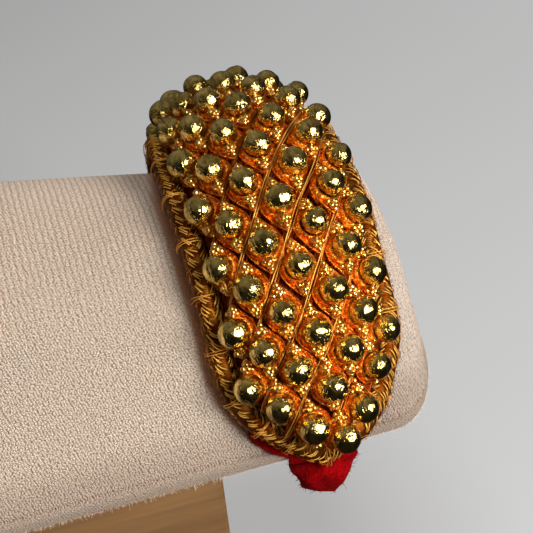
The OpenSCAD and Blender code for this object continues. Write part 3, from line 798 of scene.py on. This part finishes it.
# The zari border
def border_route():
    """The edge roll's middle line as places u, x and the way out in that plane, evenly spaced all round."""
    roll_in = ROLL_W / 2

    def quarter(length, sign):
        """A side from the loop's top to a tip: straight, then round as the outline's formula says."""
        a = np.radians(np.linspace(0, 90, 61))[1:]
        tip = length - TIP_L + (TIP_L - roll_in) * np.sin(a)
        u = np.concatenate([np.linspace(0, length - TIP_L, 40), tip])
        return sign * u, np.concatenate([np.ones(40), np.cos(a) ** (2 * TIP_POWER)])

    def soften(a):
        """The mean of seven neighbours on the closed line."""
        return np.convolve(np.concatenate([a[-4:-1], a, a[1:4]]), np.ones(7) / 7, "valid")

    fu, fs = quarter(FRONT_L, 1)
    bu, bs = quarter(BACK_L, -1)
    u = np.concatenate([fu, fu[-2::-1], bu[1:], bu[-2:0:-1]])
    share = np.concatenate([fs, -fs[-2::-1], -bs[1:], bs[-2:0:-1]])
    x = mid_x(u) + (HALF_W - roll_in) * narrow(u) * share
    u, x = np.append(u, u[0]), np.append(x, x[0])
    steps = np.linalg.norm(np.diff(on_path(u, x, 0.5), axis=0), axis=1)
    w = np.concatenate([[0], np.cumsum(steps)])
    even = np.linspace(0, w[-1], 901)
    u, x = np.interp(even, w, u), np.interp(even, w, x)
    du, dx = unit(np.stack([soften(np.gradient(u)), soften(np.gradient(x))], -1)).T
    return {"w": even, "u": u, "x": x, "out_u": dx, "out_x": -du, "round": w[-1]}


def lobes(route):
    """The string number at each place of the border, and the border's swelling: full between the string
    ends, drawn in where a string meets it."""
    u = route["u"]
    a = np.arcsin(np.clip((route["x"] - mid_x(u)) / narrow(u) / DOME_R, -1, 1))
    s = string_of(u, a * DOME_R - unit_shift(u))
    return s, np.abs(np.sin(np.pi * s)) ** 0.7


def on_roll(route, w, turn, lift):
    """Points on the edge roll: w round it, turn from 0 inward over 90 on top to 180 outward, and lift.
    The section is a squarer circle, which swells with the lobes and with the band's bulge."""
    w = np.mod(w, route["round"])
    u0, x0, out_u, out_x = (np.interp(w, route["w"], route[key]) for key in ("u", "x", "out_u", "out_x"))
    full = np.interp(w, route["w"], lobes(route)[1])
    a = np.radians(turn)
    c, s = -signed_power(np.cos(a), 0.7), signed_power(np.sin(a), 0.7)
    half = ROLL_W / 2 + lift + 0.12 * (full - 0.75) * smooth((c + 0.4) / 0.8)
    u, x = u0 + out_u * c * half, x0 + out_x * c * half + 0.7 * bulge(u0, x0)
    x = x + 0.9 * smooth((u0 - 47) / 6) * smooth((x - 2) / 5)
    u = u - 1.1 * smooth((u - 50) / 9) * (1 - smooth((x - 2) / 5))
    low = backing_low(u, x) + (BACKING_T + GAP) * (1 - smooth((c - 0.2) / 0.5) * smooth((44 - u0) / 6))
    return on_path(u, x, (ROLL_TOP + low) / 2 + ((ROLL_TOP - low) / 2 + lift + 0.08 * (full - 0.6)) * s)


def roll_threads(name, route, w, turn, lift, radius, sides, material, tone):
    """Threads that lie on the edge roll."""
    p = on_roll(route, w, turn, lift)
    return tubes(name, p, on_roll(route, w, turn, lift + 0.6) - p, radius, sides, material, tone)


def roll_mesh(route, material):
    """The wound roll under the stitches, drawn in a little at every string end."""
    turn = np.arange(0, 360, 15.0)
    w = np.linspace(0, route["round"], 540, endpoint=False)[:, None]
    p = on_roll(route, w, turn, -0.12)
    m, n = p.shape[:2]
    uv = np.stack(np.broadcast_arrays(turn / 360, w), -1)
    return mesh_object("border_roll", p, [ring_faces(m + 1, n) % (m * n)], material, uv)


def stitch_mesh(route, step, size, material):
    """Herringbone: groups of three short bright threads side by side, which lean in along the roll
    from both sides of its top, one side's groups beside the other's gaps, over thinner dull threads
    that lie every way."""
    rng = np.random.default_rng(44)
    f = np.linspace(0, 1, 6)[None]
    rows = []
    for side, late in ((-1, 0.0), (1, 0.5)):
        group = (np.arange(0, route["round"], 4.6 * step) + late * 4.6 * step)[:, None]
        beside = np.arange(3)[None] + rng.normal(0, 0.15, (len(group), 3))
        start = (group + 0.8 * step * beside + rng.normal(0, 0.08, beside.shape)).reshape(-1, 1)
        k = (start.size, 1)
        foot = 14 - 5.5 * beside.reshape(-1, 1)
        turn = 97 + side * (foot + 27 * (1 - f) + rng.normal(0, 3, k))
        w = start + 1.2 * rng.uniform(0.75, 1.25, k) * (1 - f)
        lift = 0.08 + 0.1 * np.sin(np.pi * f) + rng.normal(0, 0.03, k)
        rows.append((w, turn, lift, size / 2 * rng.uniform(0.8, 1.2, k), rng.choice([0.9, 1.0], start.size)))
    k = (int(route["round"] * 8), 1)
    w = rng.uniform(0, route["round"], k) + rng.uniform(-1, 1, k) * f
    w = w + 0.2 * np.sin(4 * f + rng.uniform(0, 6, k))
    turn = rng.uniform(5, 175, k) + rng.uniform(-35, 35, k) * f
    lift = 0.1 * np.sin(np.pi * f) + rng.normal(0, 0.03, k)
    rows.append((w, turn, lift, size / 4 * rng.uniform(0.7, 1.2, k), rng.choice([0.0, 0.3, 0.6], k[0])))
    w, turn, lift, radius, tone = (np.concatenate([r[i] for r in rows]) for i in range(5))
    return roll_threads("border_stitches", route, w, turn, lift, radius, 4, material, tone)


def cord_mesh(route, material):
    """Loops of thin wire along the border's outer foot: three lines that wave in and out and up and
    down by sines of their own, so they cross and leave small loops."""
    rng = np.random.default_rng(47)
    w = np.linspace(0, route["round"], 1700)[None]
    a = w * 2 * np.pi / np.array([[1.35], [1.7], [2.3]]) + np.array([[0], [2.0], [4.1]])
    turn = 176 + 13 * np.sin(a) + 5 * wave(np.stack([w[0], 0 * w[0], 0 * w[0]], -1), seed=48, size=9)[None]
    lift = 0.2 + 0.24 * np.sin(a * 0.5 + 1.0)
    radius = np.array([[0.11], [0.09], [0.08]])
    tone = rng.uniform(0.2, 0.7, 3)
    w = w + 0.45 * np.cos(a)
    return roll_threads("edge_loops", route, w, turn, lift, radius, sides=5, material=material, tone=tone)


def tie_mesh(route, material):
    """Thin gold threads that tie each string end down across the border."""
    s, _ = lobes(route)
    cross = np.flatnonzero(np.floor(s[:-1]) != np.floor(s[1:]))
    start = np.repeat(route["w"][cross], 2) + np.tile([-0.2, 0.2], len(cross))
    f = np.linspace(0, 1, 16)[None]
    rng = np.random.default_rng(52)
    w = start[:, None] + rng.normal(0, 0.35, (len(start), 1)) * (f - 0.3)
    tone = rng.uniform(0.5, 1, len(start))
    return roll_threads("string_ties", route, w, 235 * f - 25, lift=0.36, radius=0.075, sides=6,
                        material=material, tone=tone)


# Velvet, the bar's cover and fibres
def ribbon(name, u, half, low, high, material, seed, rough):
    """A soft ribbon along the path: a squarer circle of half width and levels low to high as its
    section, with a seeded unevenness along its faces, closed at both ends."""
    a = np.arange(40) * 2 * np.pi / 40
    u = u[:, None]
    x = mid_x(u) + half[:, None] * signed_power(np.cos(a), 0.5)
    middle, thick = (low(u, x) + high(u, x)) / 2, high(u, x) - low(u, x)
    p = on_path(u, x, middle + thick / 2 * signed_power(np.sin(a), 0.5))
    core = p.mean(1, keepdims=True)
    uneven = rough * (wave(p, seed, size=3.0) + 0.4 * wave(p, seed + 1, size=0.9))
    p = p + unit(p - core) * uneven[..., None]
    verts = np.concatenate([p.reshape(-1, 3), core[[0, -1], 0]])
    return mesh_object(name, verts, closed_faces(*p.shape[:2]), material), p


def fuzz(name, roots, ways, length, radius, material, seed):
    """Loose fibres: thin bent threads that leave their roots along ways, turned a little by chance."""
    rng = np.random.default_rng(seed)
    k = len(roots)
    way = unit(ways + rng.normal(0, 0.45, (k, 3)))
    bend = rng.normal(0, 0.5, (k, 3))
    size = length * rng.uniform(0.4, 1.0, (k, 1))
    f = np.linspace(0, 1, 4)[None, :, None]
    p = roots[:, None] + (way * size)[:, None] * f + 0.6 * (bend * size)[:, None] * f ** 2
    up = np.cross(way, rng.normal(size=(k, 3)))
    taper = radius * np.linspace(1, 0.5, 4)
    return tubes(name, p, np.repeat(up[:, None], 4, 1), taper, sides=3, material=material)


def strap_mesh(name, side, length, end, material):
    """A strap from a tip of the band to the clasp: it sags between its ends, narrows from a wide root to
    its tail, and folds up in a soft lump where it turns under the bar."""
    start, stop = length + 0.2, end - CLASP_L / 2 - GAP
    corner = (sum(r[0] for r in FRONT_RUNS[:2]) if side > 0 else sum(r[0] for r in BACK_RUNS[:3])) + 4.5

    def low(u, x):
        return GAP - BAR_GAP + STRAP_SAG * smooth((np.abs(u) - start) / 5) * smooth((stop - np.abs(u)) / 12)

    def high(u, x):
        fold = 4.6 * np.exp(-((np.abs(u) - corner) / 3) ** 2)
        return low(u, x) + STRAP_T + fold * np.maximum(0, 1 - ((x - mid_x(u) + 0.3) / 4.9) ** 2)

    a = np.linspace(start, stop, 90)
    width = STRAP_W + (TAIL_W - STRAP_W) * smooth((a - start) / TAIL_L)
    half = width / 2 + 1.1 * (1 - smooth((a - start) / 2.6))
    return ribbon(name, side * a, half, low, high, material, seed=64, rough=0.16)


def velvet_meshes(material, count):
    """Backing and both straps in velvet, with their fuzz where it shows."""
    u = np.linspace(ROLL_W / 2 + 0.6 - BACK_L, FRONT_L, 180)
    tip = smooth((u - 49) / 5)
    inset = ROLL_W / 2 * (1 - tip) - BACKING_OUT * tip
    least = np.where(u > 0, STRAP_W / 2 - 1 + 2 * smooth((u - 54) / 4), 1)
    half = np.maximum(least, half_w(u, inset))
    backing, p = ribbon("backing", u, half, backing_low, backing_high, material, seed=60, rough=0.12)
    front, q = strap_mesh("front_strap", 1, FRONT_L, FRONT_END, material)
    back, r = strap_mesh("back_strap", -1, BACK_L, BACK_END, material)
    skins = [p[u > 30], q[:60], r[:60]]
    rng = np.random.default_rng(70)
    skin = np.concatenate([s.reshape(-1, 3) for s in skins])
    away = np.concatenate([(s - s.mean(1, keepdims=True)).reshape(-1, 3) for s in skins])
    pick = rng.integers(0, len(skin), count)
    way = unit(away[pick])
    roots = skin[pick] - 0.1 * way
    hair = fuzz("velvet_fuzz", roots, way, length=0.8, radius=0.045, material=material, seed=71)
    return backing, front, back, hair


def seam_step(u):
    """How far the cover stands out low on the front: a hem up to its cut edge, less a groove at the
    seam and a long hollow below it."""
    hem = 0.35 * smooth((u - SEAM_U - 0.4) / 0.7) * (1 - smooth((u - CUT_U) / 0.35))
    groove = 0.6 * np.exp(-((u - SEAM_U) / 0.45) ** 2)
    hollow = 0.4 * smooth((u - SEAM_U + 0.2) / 5) * (1 - smooth((u - SEAM_U - 9.8) / 3))
    return hem - groove - hollow


def bar_rows(core, edge, middle, sign=1):
    """Values for the rows along the bar: flat end, rounded edge and middle, and the other end in mirror."""
    return np.concatenate([core, edge, middle, sign * edge[::-1], sign * core[::-1]])


def bar_mesh(material, fibre, count):
    """The covered bar: the path's outline drawn in, crowned along the bar, with a seam and a cut edge
    low on the front, ends that round over and close, and fuzz along the cut edge."""
    half_h, half_y = (PATH_R + PATH_DROP - 2 * BAR_GAP) / 2, (FRONT_OUT + BACK_OUT) / 2 - BAR_GAP
    mid_z = PATH_Z + PATH_R - BAR_GAP - half_h
    u = np.concatenate([np.linspace(0, 54, 70), np.linspace(54, 64, 60)[1:],
                        np.linspace(64, FRONT_END, 40)[1:], np.linspace(-BACK_END, 0, 100)[1:-1]])[None]
    flat, edge, inner = 7, 14, 128
    turn = np.radians(np.linspace(90, 0, edge))
    end = BAR_L / 2 - BAR_END_R
    middle = np.linspace(-end, end, inner + 2)[1:-1]
    x = bar_rows(np.full(flat, -BAR_L / 2), -end - BAR_END_R * np.sin(turn), middle, sign=-1)
    inset = BAR_END_R * bar_rows(np.ones(flat), 1 - np.cos(turn), np.zeros(inner))
    core = bar_rows(np.linspace(0.94, 0.01, flat), np.zeros(edge), np.zeros(inner))
    x, inset, core = x[:, None], inset[:, None], core[:, None]
    waver = 0.12 * wave(np.stack(np.broadcast_arrays(x, u, 0 * x), -1), seed=80, size=22)
    step = seam_step(u) * (1 - smooth((np.abs(x) - end) / BAR_END_R))
    p = on_path(u, x - BAND_X, bar_h(u, x) + step + waver * smooth(np.abs(x - BAND_X) / 25))
    p[..., 1] *= 1 - (inset + (half_y - BAR_END_R) * core) / half_y
    p[..., 2] = mid_z + (p[..., 2] - mid_z) * (1 - (inset + (half_h - BAR_END_R) * core) / half_h)
    poles = [[-BAR_L / 2, 0, mid_z], [BAR_L / 2, 0, mid_z]]
    uv = np.where(core[..., None] > 0, p[..., 1:], np.stack(np.broadcast_arrays(x, u), -1)).reshape(-1, 2)
    beside = np.abs(x - BAND_X - mid_x(u)) - half_w(np.clip(u, -BACK_L, FRONT_L), 0)
    # Painted shadow and painted light bounced from the band: a mark that is full beside the band's left edge
    # and fades within about a millimetre and a half.
    painted_shadow_and_bounce = 0.95 * np.exp(-(np.maximum(0, beside) / 1.1) ** 3) * (np.abs(u) < 60) * (x < BAND_X + mid_x(u))
    cover = mesh_object("bar_cover", np.concatenate([p.reshape(-1, 3), poles]), closed_faces(*p.shape[:2]),
                        material, np.concatenate([uv, [[-BAR_L / 2, 0], [BAR_L / 2, 0]]]),
                        {"painted_shadow_and_bounce": np.append(painted_shadow_and_bounce, [0, 0])})
    rng = np.random.default_rng(83)
    cut = p[flat:-flat, np.abs(u[0] - CUT_U - 0.3).argmin()]
    pick = rng.uniform(0, len(cut) - 1, count)
    roots = np.stack([np.interp(pick, np.arange(len(cut)), cut[:, i]) for i in range(3)], -1)
    roots = roots + rng.normal(0, 0.12, (count, 3))
    down = np.tile([0.0, -0.35, -0.95], (count, 1))
    return cover, fuzz("bar_fuzz", roots, down, length=0.8, radius=0.035, material=fibre, seed=84)


# Settings and operators
class PochiSizes(bpy.types.PropertyGroup):
    ball: FloatProperty(name="Ball", description="Diameter of a gold ball", default=0.0046, unit="LENGTH")
    granule: FloatProperty(
        name="Granule", description="Diameter of a granule", default=0.00102, unit="LENGTH")
    thread: FloatProperty(
        name="Gold thread", description="Diameter of a laid gold thread", default=0.00022, unit="LENGTH")
    stitch: FloatProperty(
        name="Stitch", description="Diameter of a border stitch", default=0.0002, unit="LENGTH")
    stitch_step: FloatProperty(
        name="Stitch step", description="Distance between border stitches", default=0.00042, unit="LENGTH")
    velvet_fibres: IntProperty(name="Velvet fibres", description="How many loose velvet fibres", default=2600)
    bar_fibres: IntProperty(
        name="Bar fibres", description="How many loose fibres on the bar's cut edge", default=2400)


class PochiFinishes(bpy.types.PropertyGroup):
    gold: FloatVectorProperty(
        name="Gold", description="Mirror gold of the balls", default=(0.95, 0.7, 0.24), subtype="COLOR")
    gold_dull: FloatVectorProperty(
        name="Dull gold", description="Tarnish on the balls", default=(0.6, 0.42, 0.11), subtype="COLOR")
    zari_bright: FloatVectorProperty(
        name="Bright zari", description="Brightest threads", default=(1.0, 0.55, 0.1), subtype="COLOR")
    bright_gold: FloatVectorProperty(
        name="Bright gold", description="Granules", default=(1.0, 0.68, 0.2), subtype="COLOR")
    foil: FloatVectorProperty(
        name="Foil", description="Plates round the balls", default=(0.9, 0.16, 0.005), subtype="COLOR")
    # Bright foil is the painted highlight of the rings and the painted glints; deep foil is the painted shade
    # in the grooves and under the balls.
    foil_bright: FloatVectorProperty(
        name="Bright foil", description="Rings and flecks", default=(1.0, 0.5, 0.06), subtype="COLOR")
    foil_deep: FloatVectorProperty(
        name="Deep foil", description="Plate edges", default=(0.14, 0.008, 0.001), subtype="COLOR")
    silk: FloatVectorProperty(
        name="Silk", description="Strands between plates", default=(0.8, 0.12, 0.005), subtype="COLOR")
    silk_deep: FloatVectorProperty(
        name="Deep silk", description="Dark of the strands", default=(0.3, 0.025, 0.002), subtype="COLOR")
    rim: FloatVectorProperty(
        name="Rim", description="Wires round cups and plates", default=(1.0, 0.42, 0.05), subtype="COLOR")
    zari: FloatVectorProperty(
        name="Zari", description="Metal thread of the border", default=(1.0, 0.35, 0.04), subtype="COLOR")
    zari_dark: FloatVectorProperty(
        name="Worn zari", description="Dark thread turns", default=(0.1, 0.018, 0.001), subtype="COLOR")
    velvet: FloatVectorProperty(
        name="Velvet", description="Backing and straps", default=(0.4, 0.0015, 0.003), subtype="COLOR")
    suede: FloatVectorProperty(
        name="Suede", description="Cover of the bar", default=(0.88, 0.69, 0.52), subtype="COLOR")
    # The suede shadow is painted shade: the cover's gaps, rib troughs and nap, and its lower front.
    suede_dark: FloatVectorProperty(
        name="Suede shadow", description="Gaps in the cover", default=(0.3, 0.18, 0.11), subtype="COLOR")
    wood: FloatVectorProperty(
        name="Wood", description="Light wood of the block", default=(0.25, 0.125, 0.042), subtype="COLOR")
    wood_dark: FloatVectorProperty(
        name="Wood grain", description="Darker grain", default=(0.17, 0.08, 0.025), subtype="COLOR")
    floor: FloatVectorProperty(
        name="Floor", description="Studio floor", default=(0.38, 0.38, 0.38), subtype="COLOR")


def sizes():
    return bpy.context.scene.pochi_sizes


def finishes():
    return bpy.context.scene.pochi_finishes


class MakeBalls(bpy.types.Operator):
    """Mirror gold balls, and the wavy wires round their cups and plates"""
    bl_idname = "pochi.make_balls"
    bl_label = "Balls"

    def execute(self, context):
        gold = polished_gold(finishes().gold, finishes().gold_dull)
        dress(ball_mesh(sizes().ball / MM, gold), "gold", "units_front", "units_back")
        rims = silk_strands("foil_rims", finishes().rim, finishes().foil)
        dress(collar_mesh(rims), "gold")
        return {"FINISHED"}


class MakePlates(bpy.types.Operator):
    """Orange foil lozenges and their granules"""
    bl_idname = "pochi.make_plates"
    bl_label = "Lozenges and granules"

    def execute(self, context):
        foil = lozenge_foil(finishes().foil, finishes().foil_bright, finishes().foil_deep)
        dress(plate_mesh(foil), "gold", "units_front", "units_back")
        bright = granule_gold("granule_gold", finishes().bright_gold)
        dress(granule_mesh(sizes().granule / MM, bright), "gold", "units_front", "units_back")
        return {"FINISHED"}


class MakePadding(bpy.types.Operator):
    """Silk padding under the units, and the strands and gold threads laid in its grooves"""
    bl_idname = "pochi.make_padding"
    bl_label = "Padding and threads"

    def execute(self, context):
        deep = silk_strands("padding_silk", shade(finishes().silk, 0.5), finishes().silk_deep)
        dress(padding_mesh(deep), "pad_cloth", "pad")
        silk = silk_strands("strand_silk", finishes().silk, finishes().silk_deep)
        gold = zari_thread("laid_zari", finishes().zari, finishes().zari_dark, finishes().zari_bright, 0.3)
        strands, threads = groove_threads(silk, gold, sizes().thread / MM)
        dress(strands, "pad_cloth")
        dress(threads, "zari", "string_threads")
        dress(string_mesh(gold), "zari", "string_threads")
        return {"FINISHED"}


class MakeBorder(bpy.types.Operator):
    """The wound border: roll, herringbone stitches, wire loops along its foot and string ties"""
    bl_idname = "pochi.make_border"
    bl_label = "Zari border"

    def execute(self, context):
        route = border_route()
        zari = zari_thread("border_zari", finishes().zari, finishes().zari_dark, finishes().zari_bright, 0.32)
        dress(roll_mesh(route, zari), "zari", "edge_roll")
        stitches = stitch_mesh(route, sizes().stitch_step / MM, sizes().stitch / MM, zari)
        for piece in (stitches, cord_mesh(route, zari), tie_mesh(route, zari)):
            dress(piece, "zari", "edge_roll")
        return {"FINISHED"}


class MakeVelvet(bpy.types.Operator):
    """Velvet backing, both straps and their fuzz"""
    bl_idname = "pochi.make_velvet"
    bl_label = "Velvet"

    def execute(self, context):
        backing, front, back, hair = velvet_meshes(velvet(finishes().velvet), sizes().velvet_fibres)
        dress(backing, "velvet", "velvet_backing")
        dress(front, "velvet", "strap_front")
        dress(back, "velvet", "strap_back")
        dress(hair, "velvet")
        return {"FINISHED"}


class MakeBar(bpy.types.Operator):
    """The covered display bar with its seam and cut edge"""
    bl_idname = "pochi.make_bar"
    bl_label = "Display bar"

    def execute(self, context):
        suede = suede_knit(finishes().suede, finishes().suede_dark)
        cover, hair = bar_mesh(suede, plain_cloth("bar_fibre", finishes().suede), sizes().bar_fibres)
        dress(cover, "suede", "display_bar")
        dress(hair, "suede")
        return {"FINISHED"}


class FinishSolids(bpy.types.Operator):
    """Wood on the block and gold on the clasp"""
    bl_idname = "pochi.finish_solids"
    bl_label = "Block and clasp"

    def execute(self, context):
        for node, material in (("wood_block", light_wood(finishes().wood, finishes().wood_dark)),
                               ("clasp", granule_gold("clasp_gold", finishes().gold))):
            for slot in bpy.data.objects[node].material_slots:
                slot.material = material
        return {"FINISHED"}


# Each light's way from the band and its distance, size and power, in metres and watts
LIGHTS = {"key": ((0.43, -0.77, 0.48), 0.55, 0.26, 5.3), "fill": ((-0.05, 0.0, 0.95), 0.8, 0.45, 3.6),
          "wash": ((1.2, 1.1, 0.4), 1.05, 0.5, 7.5)}
LIT_PLACE = np.array([BAND_X, -20, 80]) * MM
CAMERA_PLACE = (0.00679, -0.16676, 0.18773)
CAMERA_AXES = ((0.9516, -0.2952, -0.0852), (0.2299, 0.5004, 0.8347), (-0.2038, -0.8139, 0.5441))
FLOOR_SIDE = 3000.0


def stand(name, data, axes, place):
    """A lamp or camera at a place in metres, with its axes to the right, up and backward."""
    thing = bpy.data.objects.new(name, data)
    thing.matrix_world = Matrix(np.stack([*axes, place], 1).tolist() + [[0, 0, 0, 1]])
    bpy.context.scene.collection.objects.link(thing)
    return thing


def dim_room():
    """A world that is an even soft grey, and for reflections a room that is lighter above and behind."""
    world = Nodes("studio", "worlds")
    world.tree.nodes.clear()
    way = world.add("TexCoord")
    above = world.add("VectorMath", 1, {"operation": "DOT_PRODUCT"}, i0=way, i1=(-0.15, 0.5, 0.85))
    light = world.span(above, 0.12, 0.95, 0.012, 0.21)
    soft = world.add("Background", Color=(1, 0.985, 0.96), Strength=0.18)
    room = world.add("Background", Color=(1, 0.95, 0.86), Strength=light)
    shown = world.add("MixShader", i0=world.add("LightPath", "Is Glossy Ray"), i1=soft, i2=room)
    world.tree.links.new(shown, world.tree.nodes.new("ShaderNodeOutputWorld").inputs[0])
    return world.owner


class MakeStudio(bpy.types.Operator):
    """Pale floor, a soft key light, a fill from above, a wash from behind, a dim room and the camera"""
    bl_idname = "pochi.make_studio"
    bl_label = "Studio"

    def execute(self, context):
        corners = FLOOR_SIDE * np.array([[-1, -1, 0], [1, -1, 0], [1, 1, 0], [-1, 1, 0]])
        paint = Nodes("studio_floor").finish(Base_Color=finishes().floor, Roughness=1.0)
        floor = mesh_object("floor", corners, [np.array([[0, 1, 2, 3]])], paint)
        floor.visible_glossy = False
        for name, (way, far, size, power) in LIGHTS.items():
            light = bpy.data.lights.new(name, "AREA")
            light.size, light.energy = size, power
            back = unit(np.array(way))
            right = unit(np.cross((0, 0, 1), back))
            lamp = stand(name, light, (right, np.cross(back, right), back), LIT_PLACE + far * back)
            lamp.visible_glossy = name == "key"
        scene = bpy.context.scene
        scene.world = dim_room()
        scene.view_settings.view_transform = "Standard"
        lens = bpy.data.cameras.new("photo_camera")
        lens.lens, lens.sensor_width = 78.0, 36.0
        scene.camera = stand("photo_camera", lens, CAMERA_AXES, CAMERA_PLACE)
        return {"FINISHED"}


class PochiPanel(bpy.types.Panel):
    """Lists the bracelet's build steps"""
    bl_idname = "POCHI_PT_steps"
    bl_label = "Pochi bracelet"
    bl_space_type = "VIEW_3D"
    bl_region_type = "UI"
    bl_category = "Pochi"

    def draw(self, context):
        for step in STEPS:
            self.layout.operator(step.bl_idname)


STEPS = (MakeStudio, MakeBalls, MakePlates, MakePadding, MakeBorder, MakeVelvet, MakeBar, FinishSolids)
CLASSES = (PochiSizes, PochiFinishes, *STEPS, PochiPanel)


def register():
    for item in CLASSES:
        bpy.utils.register_class(item)
    bpy.types.Scene.pochi_sizes = PointerProperty(type=PochiSizes)
    bpy.types.Scene.pochi_finishes = PointerProperty(type=PochiFinishes)


def unregister():
    del bpy.types.Scene.pochi_finishes
    del bpy.types.Scene.pochi_sizes
    for item in reversed(CLASSES):
        bpy.utils.unregister_class(item)


def main():
    register()
    bpy.ops.pochi.make_studio()
    bpy.ops.pochi.make_balls()
    bpy.ops.pochi.make_plates()
    bpy.ops.pochi.make_padding()
    bpy.ops.pochi.make_border()
    bpy.ops.pochi.make_velvet()
    bpy.ops.pochi.make_bar()
    bpy.ops.pochi.finish_solids()


if __name__ == "__main__":
    main()
